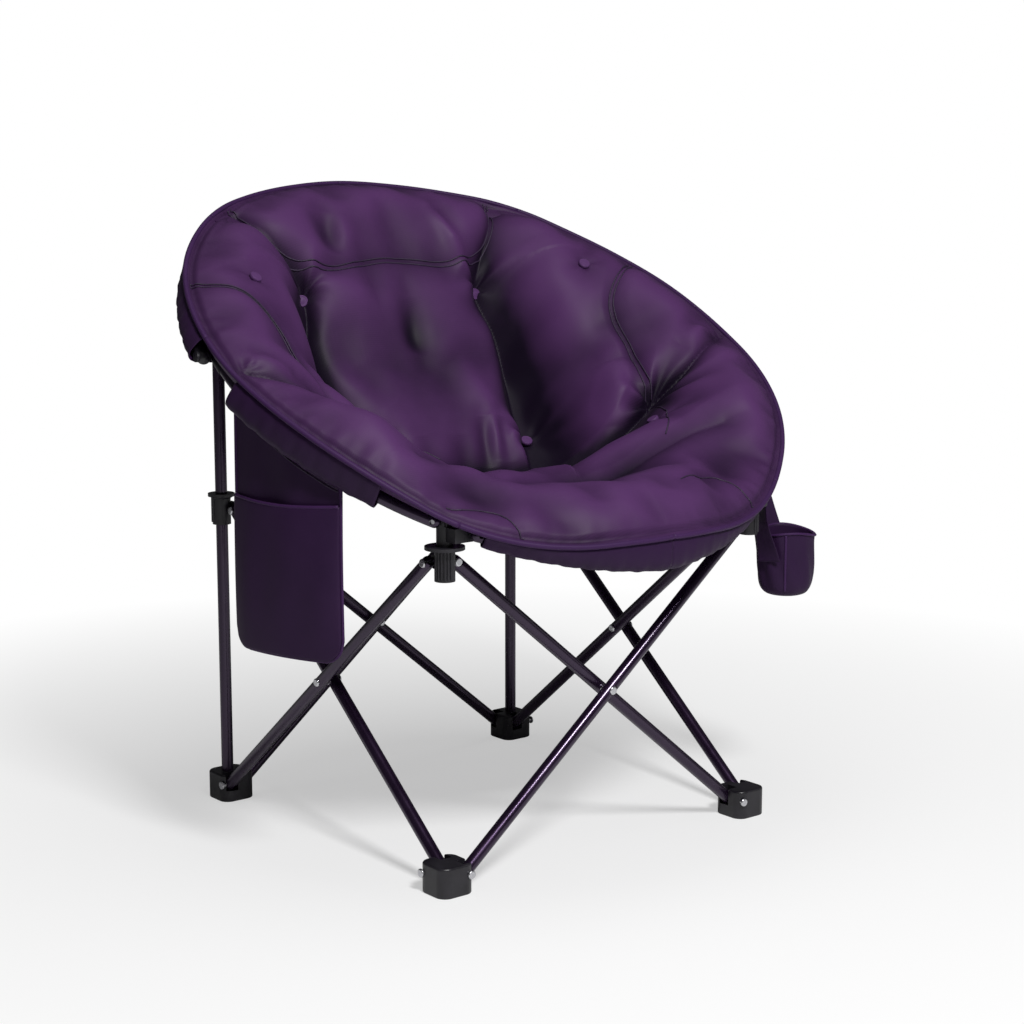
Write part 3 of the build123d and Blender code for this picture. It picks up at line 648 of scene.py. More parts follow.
def sheet_grid():
    """Places of the sheet's points, which of them exist, and which are held."""
    line = np.arange(-SHEET_HALF, SHEET_HALF + 1e-9, SHEET_STEP)
    x, y = np.meshgrid(line, line, indexing="ij")
    r, t = np.hypot(x, y), np.degrees(np.arctan2(x, y))
    near = np.full(x.shape, 9.0)
    for path, *_ in CREASES:
        near = np.minimum(near, to_path(x, y, path)[0])
    for tx, ty, *_ in TIES:
        near = np.minimum(near, np.hypot(x - tx, y - ty))
    exists = r <= edge_radius(t) + 0.004
    return x, y, exists, (near < 0.8 * SHEET_STEP) | (r > edge_radius(t) - 0.012)


def drape():
    """Movement (dx, dy, dz) of the sheet's points after the simulation, capped."""
    x, y, exists, held = sheet_grid()
    move = np.zeros(x.shape + (3,))
    start = np.stack([x, y, seat_height(x, y)], -1)[exists]
    index = np.full(x.shape, -1)
    index[exists] = np.arange(len(start))
    quads = np.stack([index[:-1, :-1], index[1:, :-1], index[1:, 1:], index[:-1, 1:]], -1)
    quads = quads[(quads >= 0).all(axis=-1)]
    sheet = new_mesh("sheet", start, [quads], SATIN)
    group = sheet.vertex_groups.new(name="held")
    group.add(np.nonzero(held[exists])[0].tolist(), 1.0, "REPLACE")
    cloth = sheet.modifiers.new("Cloth", "CLOTH")
    settings = {
        "quality": 6, "mass": 0.3, "tension_stiffness": 15, "compression_stiffness": 15,
        "shear_stiffness": 5, "bending_stiffness": 6.0, "vertex_group_mass": "held",
        "shrink_min": -0.02, "shrink_max": -0.02, "use_pressure": True,
        "uniform_pressure_force": 1.4}
    for key, value in settings.items():
        setattr(cloth.settings, key, value)
    cloth.settings.effector_weights.gravity = 0
    cloth.collision_settings.use_collision = False
    for number in range(1, FRAMES + 1):
        bpy.context.scene.frame_set(number)
    shape = sheet.evaluated_get(bpy.context.evaluated_depsgraph_get())
    end = np.empty(start.size, np.float32)
    shape.data.vertices.foreach_get("co", end)
    moved = end.reshape(-1, 3) - start
    size = np.linalg.norm(moved, axis=1, keepdims=True)
    moved *= MOST_MOVE * np.tanh(size / MOST_MOVE) / np.maximum(size, 1e-9)
    move[exists] = moved
    print("cloth", len(start), "points, most", round(float(size.max()) * 1000, 1), "mm, mean",
          round(float(moved[:, 2].mean()) * 1000, 1), "mm up")
    mesh = sheet.data
    bpy.data.objects.remove(sheet)
    bpy.data.meshes.remove(mesh)
    bpy.context.scene.frame_set(1)
    return move


def blurred(field, spread):
    """Field convolved with a Gaussian of that spread: each frequency f times
    exp(-2 (pi spread f)^2)."""
    f = [np.fft.fftfreq(count, SHEET_STEP) for count in field.shape]
    damp = np.exp(-2 * (np.pi * spread) ** 2 * (f[0][:, None] ** 2 + f[1][None, :] ** 2))
    return np.fft.ifft2(np.fft.fft2(field) * damp).real


def read_grid(field, x, y):
    """Values of a field of the sheet's grid at x, y, with bilinear weights."""
    u = np.clip((x + SHEET_HALF) / SHEET_STEP, 0, field.shape[0] - 1.001)
    v = np.clip((y + SHEET_HALF) / SHEET_STEP, 0, field.shape[1] - 1.001)
    i, j = u.astype(int), v.astype(int)
    p, q = u - i, v - j
    return ((1 - p) * (1 - q) * field[i, j] + p * (1 - q) * field[i + 1, j]
            + (1 - p) * q * field[i, j + 1] + p * q * field[i + 1, j + 1])


# the last two set the painted shading: the spread of the surroundings and the depth of full shade
CALM, AROUND, SHADING_FULL_DEPTH = 0.009, 0.034, 0.012
MOVE = np.stack([blurred(part, CALM) for part in np.moveaxis(drape(), -1, 0)])


# %% [markdown]
# The deepest creases and ties would reach through the thin middle of the saucer. So the face is
# kept a little over the underside with a rounded step, and it is never thinner than that.

# %% Face of the seat
THINNEST, BLEND = 0.009, 0.007


def over_underside(x, y, z):
    """Height kept over the underside: least + (d + sqrt(d^2 + blend^2)) / 2, where d is the
    height over the least one. It leaves the outer edge as it is."""
    r = np.hypot(x, y)
    least = through(UNDER_R, UNDER_Z, r) + THINNEST
    d = z - least
    kept = least + 0.5 * (d + np.sqrt(d ** 2 + BLEND ** 2))
    return z + (kept - z) * (1 - fade(r, 0.325, 0.355))


def seat_face(x, y):
    """Point of the draped face in the row frame: (x, y, height) plus the sheet's movement."""
    x, y = np.broadcast_arrays(np.asarray(x, float), np.asarray(y, float))
    dx, dy, dz = (read_grid(part, x, y) for part in MOVE)
    x, y, z = x + dx, y + dy, seat_height(x, y) + dz
    return to_row(x, y, over_underside(x, y, z))


# painted shading: valleys get painted shade, crowns get painted light
def painted_shading_grid():
    """Depth below the surroundings, as a share of SHADING_FULL_DEPTH: (blurred height - height)."""
    x, y = sheet_grid()[:2]
    height = seat_height(x, y) + MOVE[2]
    return np.clip((blurred(height, AROUND) - height) / SHADING_FULL_DEPTH, -1, 1)


def face_normal(x, y, step=0.0015):
    """Unit normal of the draped face, from central differences."""
    along_x = seat_face(x + step, y) - seat_face(x - step, y)
    along_y = seat_face(x, y + step) - seat_face(x, y - step)
    return unit(np.cross(along_x, along_y))


# %% [markdown]
# ## Cover panels
# The cover is a grid: rows run from the middle out over the face to the sewn edge, then back
# under to the middle; columns run round the ring. Normals are worked out on the whole cover
# before it is cut, so the eight panels shade as one cloth. Each panel is a closed piece that
# rides its own tube.

# %% Cover grid
COLUMN_STEP = 0.5
FACE_ROWS, UNDER_ROWS = 150, 26
MIDDLE_R = 0.0004
CUTS = [-180.0, CORNER_T - 180, -SIDE_T, -CORNER_T, 0.0, CORNER_T, SIDE_T, 180 - CORNER_T, 180.0]
TURN = np.unique(np.concatenate([
    np.linspace(start, stop, math.ceil((stop - start) / COLUMN_STEP) + 1)
    for start, stop in zip(CUTS[:-1], CUTS[1:])]))


def lip_height():
    """Height of the cover's underside over a tube, higher over the rear brackets."""
    return 0.0102 + 0.0098 * np.exp(-((from_back(TURN) - CORNER_T) / 6.0) ** 4)


def cover_grid():
    """Rows x columns points of the face and of the underside, both from the middle out, and
    the flat cloth's coordinates of each."""
    a = np.radians(TURN)[None, :]
    edge, up, lip = edge_radius(TURN), edge_height(TURN), lip_height()
    hinge = near_hinge(TURN)
    share = np.linspace(0, 1, FACE_ROWS)[:, None] ** 0.9
    face_r = MIDDLE_R + (edge[None, :] - MIDDLE_R) * share
    face = seat_face(face_r * np.sin(a), face_r * np.cos(a))
    throat = 0.3735 - 0.0030 * hinge
    under_r = np.linspace(MIDDLE_R, 1, UNDER_ROWS)[:, None] * (throat - 0.0020)
    under_z = through(UNDER_R, UNDER_Z, under_r)
    lip_r = np.stack([throat - 0.0012, throat - 0.0006, throat, throat + 0.0030,
                      0.5 * (edge + throat), edge - 0.0040, edge + 0.0004])
    lip_z = np.stack([0 * lip - 0.0110, 0 * lip - 0.0060, 0 * lip + 0.0030, lip - 0.0010, lip,
                      0.5 * (lip + up) - 0.0030, up - 0.0030])
    under = on_ring(TURN[None, :], np.vstack([under_r, lip_r]), np.vstack([under_z, lip_z]))
    all_r = np.vstack([face_r, under_r, lip_r])
    flat = np.stack([all_r * np.sin(a), all_r * np.cos(a)], -1)
    return face, under, flat[:FACE_ROWS], flat[FACE_ROWS:]


def grid_normals(points, outward):
    """Unit normals of a grid whose columns close on themselves, turned to one side."""
    down = np.gradient(points, axis=0)
    ring = np.concatenate([points[:, -2:-1], points, points[:, 1:2]], axis=1)
    across = np.gradient(ring, axis=1)[:, 1:-1]
    normals = unit(np.cross(down, across))
    middle = normals[len(points) // 2]
    return normals * (1.0 if (middle * outward).sum() > 0 else -1.0)


FACE, UNDER, FACE_FLAT, UNDER_FLAT = cover_grid()
FACE_NORMALS = grid_normals(FACE, NORMAL)
UNDER_NORMALS = grid_normals(UNDER, -NORMAL)
# painted shading of the face's points: painted shade in valleys, painted light on crowns
FACE_PAINTED_SHADING = read_grid(painted_shading_grid(), FACE_FLAT[..., 0], FACE_FLAT[..., 1])
print("cover", FACE.shape[:2], "face and", UNDER.shape[:2], "underside points")


def dress(obj, name, squashed=True):
    """The piece rides its tube; a squashed piece first gets its own copy of its mesh."""
    if squashed:
        middle = math.radians(sum(ARCS[name][3:]) / 2)
        radial = math.sin(middle) * ACROSS + math.cos(middle) * UP_SLOPE
        axis = unit(radial * 0.894 + NORMAL * 0.447)
        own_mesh(obj)
    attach(obj, "rim_arm_" + name)
    return obj


def column_range(name, near=0.0, far=0.0):
    """First and last column of a panel, shortened at its corner and at its hinge."""
    first, last = ARCS[name][3:]
    toward = 1 if last > first else -1
    ends = sorted((first + toward * near, last - toward * far))
    return int(np.abs(TURN - ends[0]).argmin()), int(np.abs(TURN - ends[1]).argmin())


def between(upper, lower, upper_share, lower_share):
    """Triangles that fill the strip between two chains of points, given as indices with their
    shares along: the next step is always taken on the chain that is behind."""
    steps = len(upper) - 1
    order = np.argsort(np.concatenate([upper_share[1:], lower_share[1:]]), kind="stable")
    on_upper = order < steps
    u, v = np.cumsum(on_upper), np.cumsum(~on_upper)
    above = np.stack([upper[u - 1], upper[u], lower[v]], 1)[on_upper]
    below = np.stack([upper[u], lower[v], lower[v - 1]], 1)[~on_upper]
    return np.vstack([above, below])


def closed_slice(upper, lower, upper_normals, lower_normals):
    """Closed panel from a slice of two grids that meet at the middle and at the edge: both
    skins, a strip along the edge and the middle, and a wall at each cut."""
    rows, count = upper.shape[:2]
    below_rows = lower.shape[0]
    top = np.arange(rows * count).reshape(rows, count)
    low = rows * count + np.arange(below_rows * count).reshape(below_rows, count)
    faces = [grid_faces(rows, count), rows * count + grid_faces(below_rows, count, flip=True)]
    edge = np.stack([top[-1, :-1], top[-1, 1:], low[-1, 1:], low[-1, :-1]], 1)
    middle = np.stack([top[0, :-1], low[0, :-1], low[0, 1:], top[0, 1:]], 1)
    faces += [edge, middle]
    points = [upper.reshape(-1, 3), lower.reshape(-1, 3)]
    normals = [upper_normals.reshape(-1, 3), lower_normals.reshape(-1, 3)]
    start = (rows + below_rows) * count
    shares = [length_along(grid[:, 0]) for grid in (upper, lower)]
    shares = [share / share[-1] for share in shares]
    for column, inside in ((0, 1), (count - 1, count - 2)):
        wall = np.vstack([upper[:, column], lower[:, column]])
        away = unit((upper[:, column] - upper[:, inside]).mean(axis=0))
        strip = between(start + np.arange(rows), start + rows + np.arange(below_rows), *shares)
        faces.append(strip if column == 0 else strip[:, ::-1])
        points.append(wall)
        normals.append(np.repeat(away[None], len(wall), axis=0))
        start += len(wall)
    points = np.vstack(points)
    a, b, c = (points[faces[0][rows // 2 * (count - 1), k]] for k in range(3))
    if np.cross(b - a, c - a) @ normals[0][rows // 2 * count] < 0:
        faces = [group[:, ::-1] for group in faces]
    return points, faces, np.vstack(normals)


for name in ARCS:
    low, high = column_range(name)
    cut = slice(low, high + 1)
    points, faces, normals = closed_slice(
        FACE[:, cut], UNDER[:, cut], FACE_NORMALS[:, cut], UNDER_NORMALS[:, cut])
    skins = [FACE_FLAT[:, cut].reshape(-1, 2), UNDER_FLAT[:, cut].reshape(-1, 2)]
    walls = [grid[:, column] for column in (low, high) for grid in (FACE_FLAT, UNDER_FLAT)]
    # painted shading per point: the face's values, none on the underside
    under_painted_shading = np.zeros(len(UNDER))
    painted_shadings = [FACE_PAINTED_SHADING[:, cut].ravel(), np.repeat(under_painted_shading, high + 1 - low)]
    painted_shadings += [part for column in (low, high) for part in (FACE_PAINTED_SHADING[:, column], under_painted_shading)]
    cover = new_mesh("seat_cover_" + name, points, faces, SATIN, normals,
                     np.vstack(skins + walls), np.concatenate(painted_shadings))
    dress(cover, name)
    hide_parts("seat_" + name)
print("seat panels", len(ARCS), "with", len(points), "points in the last")

# %% [markdown]
# ## Sleeves and piping
# A flat sleeve of the same cloth hangs from the sewn edge over the tube and closes under it. It
# stops short of the corners and of the side hinges, where the photograph shows bare tube. It is
# one skin, given its thickness by a Solidify modifier. A corded piping covers the sewn edge.

# %% Sleeves and piping
# degrees left bare beside a corner and beside a hinge
SLEEVE_BARE = {"front": (5.0, 0.0), "side_front": (13.8, 12.0), "side_rear": (9.0, 1.2),
               "back": (9.0, 0.0)}
SLEEVE_WALL = 0.0014
PIPING_R = 0.0034


def sleeve_grid():
    """Rows x columns of the sleeve's outer skin: from the edge down over the tube and under,
    with small rucks sin(83 a), sin(151 a) that die out at both ends."""
    edge, up, skirt = edge_radius(TURN), edge_height(TURN), skirt_radius(TURN)
    zero = 0 * edge
    r = np.stack([edge - 0.0014, edge + 0.0016, edge + 0.36 * (skirt - edge) + 0.0018,
                  edge + 0.72 * (skirt - edge) + 0.0012, skirt + 0.0002, skirt + 0.0004,
                  skirt - 0.0008, skirt - 0.0040, skirt - 0.0096, 0.5 * skirt + 0.1870,
                  zero + 0.3810, zero + 0.3742])
    z = np.stack([up - 0.0014, up - 0.0036, 0.68 * up, 0.34 * up + 0.0010, zero + 0.0036,
                  zero - 0.0010, zero - 0.0062, zero - 0.0100, zero - 0.0124, zero - 0.0130,
                  zero - 0.0128, zero - 0.0122])
    slope_r, slope_z = np.gradient(r, axis=0), np.gradient(z, axis=0)
    size = np.hypot(slope_r, slope_z)
    a = np.radians(TURN)[None, :]
    level = np.linspace(0, 1, len(r))[:, None]
    ruck = np.sin(83 * a + 4 * level) + 0.6 * np.sin(151 * a - 5 * level + 2 * np.sin(9 * a))
    swell = 0.0005 * ruck * np.sin(np.pi * level)
    run = np.concatenate([zero[None], np.cumsum(size[1:], axis=0)])
    flat = np.stack([RIM_R * a + 0 * run, run], -1)
    return on_ring(TURN[None, :], r - slope_z / size * swell, z + slope_r / size * swell), flat


SLEEVE, SLEEVE_FLAT = sleeve_grid()
for name in ARCS:
    low, high = column_range(name, *SLEEVE_BARE[name.rsplit("_", 1)[0]])
    cut = slice(low, high + 1)
    skin = SLEEVE[:, cut]
    faces = grid_faces(*skin.shape[:2])
    sleeve = new_mesh("sleeve_" + name, skin.reshape(-1, 3), [faces], LINING,
                      flat_uv=SLEEVE_FLAT[:, cut].reshape(-1, 2))
    facing = np.array(sleeve.data.polygons[len(faces) // 3].normal)
    middle = np.array(sleeve.data.polygons[len(faces) // 3].center)
    outward = facing @ (middle - on_ring(TURN[(low + high) // 2], 0.0, 0.0)) > 0
    wall = sleeve.modifiers.new("wall", "SOLIDIFY")
    wall.thickness = SLEEVE_WALL
    wall.offset = -1.0 if outward else 1.0
    wall.use_flip_normals = not outward
    dress(sleeve, name, squashed=False)
    low, high = column_range(name)
    turn = TURN[low:high + 1]
    path = on_ring(turn, edge_radius(turn) + 0.0009, edge_height(turn) + 0.0002)
    points, faces = sweep(path, NORMAL, round_profile(PIPING_R, 12))
    flat = np.stack([np.repeat(length_along(path), 12), np.tile(np.arange(12) * 0.0018,
                                                              len(path))], 1)
    flat = np.vstack([flat, flat[:1], flat[-1:]])
    dress(new_mesh("piping_" + name, points, faces, BINDING, flat_uv=flat), name)
print("sleeves and pipings", 2 * len(ARCS))

# %% [markdown]
# ## Seams and buttons
# The head and wing seams are double rows of stitches, the others single. A row is a cord whose
# thickness swells and shrinks with each stitch. A row is split where it crosses from one panel
# to the next, so that every piece rides one tube.

# %% Seams
THREAD_R, STITCH, ROW_APART = 0.0011, 0.0034, 0.0064


def panel_at(x, y):
    """Name of the seat panel over a point of the ring's plane."""
    turn = math.degrees(math.atan2(x, y))
    inside = [name for name, arc in ARCS.items() if min(arc[3:]) <= turn <= max(arc[3:])]
    return inside[0] if inside else "front_left"


def beside(path, distance):
    """Path moved sideways in the plane."""
    tangent = unit(np.gradient(path, axis=0))
    return path + distance * np.stack([-tangent[:, 1], tangent[:, 0]], 1)


def split_by_panel(line):
    """Runs of a line, each with the panel that it lies on."""
    owners = np.array([panel_at(*point) for point in line])
    breaks = np.flatnonzero(owners[1:] != owners[:-1]) + 1
    bounds = np.concatenate([[0], breaks, [len(line)]])
    return [(owners[a], line[a:min(b + 1, len(line))]) for a, b in zip(bounds[:-1], bounds[1:])]


def stitches(x, y):
    """Row of stitches on the face: radius R (0.5 + 0.5 |sin(pi length / stitch)|^0.4)."""
    normal = face_normal(x, y)
    path = seat_face(x, y) + normal * 0.0006
    beat = np.abs(np.sin(np.pi * length_along(path) / STITCH)) ** 0.4
    return sweep(path, normal, round_profile(THREAD_R * (0.5 + 0.5 * beat), 6))


rows = [beside(smooth_path(knots, 0.0009), shift * ROW_APART / 2)
        for knots in (WING_SEAM, mirrored(WING_SEAM), WHOLE_HEAD_SEAM) for shift in (-1, 1)]
rows += [smooth_path(knots, 0.0009)
         for knots in (LAP_SEAM_RIGHT, LAP_SEAM_LEFT, SIDE_SEAM, mirrored(SIDE_SEAM))]
threads = {name: [] for name in ARCS}
for line in rows:
    line = line[np.hypot(*line.T) < edge_radius(np.degrees(np.arctan2(*line.T))) - 0.004]
    for owner, run in split_by_panel(line):
        if len(run) >= 4:
            threads[owner].append(stitches(run[:, 0], run[:, 1]))
for name, parts in threads.items():
    if parts:
        # the dark thread is painted shade of the seam grooves
        dress(new_mesh("seam_" + name, *join(parts), THREAD_SHADE), name)
print("stitch rows", len(rows))

# %% [markdown]
# The buttons are covered in the same cloth: a low dome with a raised rim, turned about the
# face's own normal at each tie, where the wadding dips around it.

# %% Buttons
BUTTON_SIDES = 32
BUTTON_PROFILE = np.array([(0.0002, 0.0034), (0.0030, 0.0032), (0.0052, 0.0026), (0.0060, 0.0027),
                           (0.0072, 0.0031), (0.0080, 0.0024), (0.0084, 0.0008),
                           (0.0082, -0.0030)])


def button(x, y):
    """Turned surface: centre + radius (cos a u + sin a v) + height n."""
    n = face_normal(np.float64(x), np.float64(y), 0.008)
    u = unit(np.cross(UP_SLOPE, n))
    v = np.cross(n, u)
    angle = np.linspace(0, 2 * np.pi, BUTTON_SIDES, endpoint=False)
    around = np.cos(angle)[:, None] * u + np.sin(angle)[:, None] * v
    centre = seat_face(x, y) + n * 0.0044
    radius, height = BUTTON_PROFILE.T
    rings = centre + radius[:, None, None] * around + height[:, None, None] * n
    points = np.vstack([rings.reshape(-1, 3), centre + n * height[0], centre - n * 0.003])
    j = np.arange(BUTTON_SIDES)
    k = (j + 1) % BUTTON_SIDES
    base = (len(radius) - 1) * BUTTON_SIDES
    top, bottom = 0 * j + len(points) - 2, 0 * j + len(points) - 1
    return points, [grid_faces(len(radius), BUTTON_SIDES, wrap=True, flip=True),
                    np.stack([top, j, k], 1), np.stack([bottom, base + k, base + j], 1)]


buttons = {}
for x, y in BUTTON_TIES:
    buttons.setdefault(panel_at(x, y), []).append(button(x, y))
for name, parts in buttons.items():
    points, faces = join(parts)
    dress(new_mesh("buttons_" + name, points, faces, BUTTON, flat_uv=points[:, :2]), name)
print("buttons", len(BUTTON_TIES))

# %% [markdown]
# ## Side pocket
# A flat pocket hangs from the sleeve on the sitter's right: a back sheet, a lower front sheet
# whose mouth gathers a little, bound edges, and a hem stitched below the sleeve. Both sheets are
# surfaces over a share along the tube and a level up, moved outward by soft hanging waves.

# %% Pocket sheets
POCKET_TURN = (-91.0, -119.0)
POCKET_LOW, POCKET_MOUTH, POCKET_CORNER = 0.283, 0.470, 0.026
POCKET_WIDE = 0.19
CLOTH = 0.0016


def pocket_point(share, level, out, top=None):
    """Point of the pocket: under the tube at a share of its run, a level between the rounded
    bottom and the top, and out metres from the tube's centre line."""
    share, level, out = np.broadcast_arrays(share, level, out)
    turn = POCKET_TURN[0] + (POCKET_TURN[1] - POCKET_TURN[0]) * share
    line = on_ring(turn, RIM_R + lap("side_front_left", turn), 0.0)
    ahead = on_ring(turn - 0.01, RIM_R + lap("side_front_left", turn - 0.01), 0.0)
    along = unit((ahead - line)[..., :2])
    outward = np.stack([along[..., 1], -along[..., 0]], -1)
    outward *= np.sign((outward * line[..., :2]).sum(-1, keepdims=True))
    gap = np.clip(np.minimum(share, 1 - share) * POCKET_WIDE, 0, POCKET_CORNER)
    low = POCKET_LOW + POCKET_CORNER - np.sqrt(POCKET_CORNER ** 2 - (POCKET_CORNER - gap) ** 2)
    high = line[..., 2] - 0.0095
    if top is not None:
        high = np.minimum(high, top)
    plan = line[..., :2] + outward * out[..., None]
    return np.concatenate([plan, (low + (high - low) * level)[..., None]], -1)


def hang(share, level):
    """Soft waves of the hanging cloth, strongest halfway down."""
    free = np.sin(np.pi * np.clip(level, 0, 1)) ** 0.7
    return free * (0.0022 * np.sin(7.0 * share + 2.2 * level + 0.5)
                   + 0.0012 * np.sin(17.0 * share - 3.0 * level))


def front_out(share, level):
    """Offset of the front sheet: it bellies out below the mouth and gathers at it."""
    belly = 0.0070 * np.sin(np.pi * level) ** 0.8 * np.sin(np.pi * share) ** 0.6
    gather = 0.0030 * level ** 3 * np.sin(np.pi * share)
    return 0.0042 + belly + gather + 0.7 * hang(share, level)


def hung_sheet(name, points, share, level):
    """Sheet from a grid of points, with its thickness from a Solidify modifier."""
    flat = np.stack([share * POCKET_WIDE, level * 0.27], -1).reshape(-1, 2)
    faces = grid_faces(*points.shape[:2], flip=True)
    sheet = new_mesh(name, points.reshape(-1, 3), [faces], LINING, flat_uv=flat)
    wall = sheet.modifiers.new("wall", "SOLIDIFY")
    wall.thickness = CLOTH
    wall.offset = 0.0
    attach(sheet, "rim_arm_side_front_left")
    return sheet


level, share = np.meshgrid(np.linspace(0, 1, 60), np.linspace(0, 1, 56), indexing="ij")
back_sheet = hung_sheet("pocket_back", pocket_point(share, level, hang(share, level)),
                        share, level)
mouth = POCKET_MOUTH - 0.004 * np.sin(np.pi * share)
front_sheet = hung_sheet("pocket_front",
                         pocket_point(share, level, front_out(share, level), mouth),
                         share, level)
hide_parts("pocket")
print("pocket sheets", len(back_sheet.data.vertices), "points each")

# %% Pocket binding
BIND_R = 0.0028


def bound(path, up, radius=BIND_R):
    """Flat bound edge along a path."""
    points, faces = sweep(path, up, round_profile(radius, 8, squeeze=0.75))
    flat = np.stack([np.repeat(length_along(path), 8), np.tile(np.arange(8) * 0.002, len(path))],
                    1)
    return points, faces, np.vstack([flat, flat[:1], flat[-1:]])


def outline_share():
    """Share and level round the pocket's free sides: down one side, along, and up the other."""
    side, base = np.linspace(1, 0, 40), np.linspace(0, 1, 60)
    return (np.concatenate([0 * side, base[1:-1], 0 * side + 1]),
            np.concatenate([side, 0 * base[1:-1], side[::-1]]))


outline = outline_share()
outward = np.array([-1.0, 0.0, 0.0])
across_mouth = np.linspace(0.01, 0.99, 60)
mouth_line = pocket_point(across_mouth, 1.0, front_out(across_mouth, 1.0),
                          POCKET_MOUTH - 0.004 * np.sin(np.pi * across_mouth))
bindings = [bound(smooth_path(pocket_point(*outline, hang(*outline)), 0.004), outward),
            bound(mouth_line, outward, 0.0022)]
points, faces = join([(p, f) for p, f, _ in bindings])
binding = new_mesh("pocket_binding", points, faces, BINDING,
                   flat_uv=np.vstack([flat for *_, flat in bindings]))
hem_share = np.linspace(0.02, 0.98, 220)
hem_rows = []
for drop in (0.045, 0.062):
    at = 1 - drop
    hem = pocket_point(hem_share, at, hang(hem_share, at) + CLOTH / 2 + 0.0002)
    beat = np.abs(np.sin(np.pi * length_along(hem) / STITCH)) ** 0.4
    hem_rows.append(sweep(hem, outward, round_profile(THREAD_R * (0.5 + 0.5 * beat), 6)))
# the dark thread is painted shade of the hem's stitch grooves
hem_thread = new_mesh("pocket_thread", *join(hem_rows), THREAD_SHADE)
for obj in (binding, hem_thread):
    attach(obj, "rim_arm_side_front_left")
print("pocket bound")

# %% [markdown]
# ## Cup pouch
# A soft round pouch hangs from the ring on the other side. Its wall is a turned profile that
# leans and sags with low waves; its mouth and one side seam are bound, and two broad straps,
# wider at the ring, carry it.

# %% Pouch
CUP_X, CUP_Y, CUP_LOW = 0.332, SHIFT_Y - 0.240, 0.289
# radius and height over the base: out over the base, up the wall, over the mouth, down inside
CUP_PROFILE = np.array([
    (0.0002, 0.0015), (0.0120, 0.0004), (0.0220, 0.0010), (0.0295, 0.0045), (0.0345, 0.0120),
    (0.0370, 0.0240), (0.0382, 0.0400), (0.0385, 0.0560), (0.0390, 0.0720), (0.0396, 0.0840),
    (0.0390, 0.0860), (0.0374, 0.0840), (0.0366, 0.0560), (0.0350, 0.0240), (0.0310, 0.0110),
    (0.0200, 0.0040), (0.0002, 0.0035)])
CUP_SIDES = 96


def cup_point(angle, radius, height):
    """Point of the pouch: radius (1 + low waves that grow with height), leaning with a sag."""
    share = height / 0.086
    wave = 1 + 0.030 * np.sin(2 * angle + 0.9) * share + 0.014 * np.sin(5 * angle + 2.0) * share
    crease = 0.0011 * np.sin(9 * angle + 6 * share) * np.sin(np.pi * np.clip(share, 0, 1))
    r = radius * wave + crease * (radius > 0.02)
    sag = 0.0040 * np.sin(2 * angle - 0.4) * share ** 2
    return np.stack(np.broadcast_arrays(CUP_X + r * np.cos(angle), CUP_Y + r * np.sin(angle),
                                        CUP_LOW + height + sag), -1)


profile = smooth_path(CUP_PROFILE, 0.0028)
angle = np.linspace(0, 2 * np.pi, CUP_SIDES, endpoint=False)
wall = cup_point(angle[None, :], profile[:, :1], profile[:, 1:])
flat = np.stack(np.broadcast_arrays(angle[None, :] * 0.038, length_along(profile)[:, None]), -1)
pouch = new_mesh("cup_pouch", wall.reshape(-1, 3), [grid_faces(*wall.shape[:2], wrap=True)],
                 LINING, flat_uv=flat.reshape(-1, 2))
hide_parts("cup_holder")


def strap(turn, angle_low, width_low, width_top):
    """Broad strap: a thin rounded section that turns and widens from the pouch to the ring."""
    radius = RIM_R + float(lap("side_front_right", turn))
    top = on_ring(turn, radius, -0.0105)
    top_side = unit(on_ring(turn + 0.5, radius, -0.0105) - on_ring(turn - 0.5, radius, -0.0105))
    out = np.array([math.cos(angle_low), math.sin(angle_low), 0.0])
    low = cup_point(np.float64(angle_low), 0.0398, 0.050)
    low_side = np.array([-out[1], out[0], 0.0])
    low_side = low_side * (1 if low_side @ top_side > 0 else -1)
    w = np.linspace(0, 1, 40)[:, None]
    path = low * (1 - w) + top * w + out * 0.010 * np.sin(np.pi * w) ** 2
    side = unit(low_side * (1 - w) + top_side * w)
    half = 0.5 * (width_low * (1 - fade(w, 0.3, 1.0)) + width_top * fade(w, 0.3, 1.0))
    corner = np.linspace(0, 2 * np.pi, 16, endpoint=False)
    flat_wide = np.sign(np.cos(corner)) * np.abs(np.cos(corner)) ** 0.3
    section = np.stack([half * flat_wide, 0 * half + 0.0011 * np.sin(corner)], -1)
    points, faces = sweep(path, np.cross(side, np.gradient(path, axis=0)), section)
    run = np.repeat(length_along(path), 16)
    flat = np.stack([run, np.tile(np.cumsum(np.full(16, 0.004)), len(path))], 1)
    return points, faces, np.vstack([flat, flat[:1], flat[-1:]])


straps = [strap(121.0, 1.25, 0.046, 0.066), strap(133.5, 3.35, 0.034, 0.046)]
points, faces = join([(p, f) for p, f, _ in straps])
straps = new_mesh("cup_straps", points, faces, LINING,
                  flat_uv=np.vstack([flat for *_, flat in straps]))
ring_angle = np.linspace(0, 2 * np.pi, 121)
mouth = cup_point(ring_angle, 0.0396, 0.0850)
seam_height = np.linspace(0.010, 0.083, 40)
seam_radius = np.interp(seam_height, CUP_PROFILE[3:10, 1], CUP_PROFILE[3:10, 0])
seam = cup_point(np.float64(3.9), seam_radius + 0.0004, seam_height)
parts = [bound(mouth, np.array([0.0, 0.0, 1.0]), 0.0024),
         bound(seam, np.array([math.cos(3.9), math.sin(3.9), 0.0]), 0.0018)]
points, faces = join([(p, f) for p, f, _ in parts])
cup_binding = new_mesh("cup_binding", points, faces, BINDING,
                       flat_uv=np.vstack([flat for *_, flat in parts]))
for obj in (pouch, straps, cup_binding):
    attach(obj, "rim_arm_side_front_right")
print("pouch with", len(pouch.data.vertices), "points")

# %% [markdown]
# ## Studio
# One soft lamp high in front and a little to the left, as in the photograph, a weak fill on the
# right and a weak lamp above. The floor is white: far away it glows for the camera only, and near
# the chair it is plain paint, so that the chair keeps its shadow and gets no light from the glow.


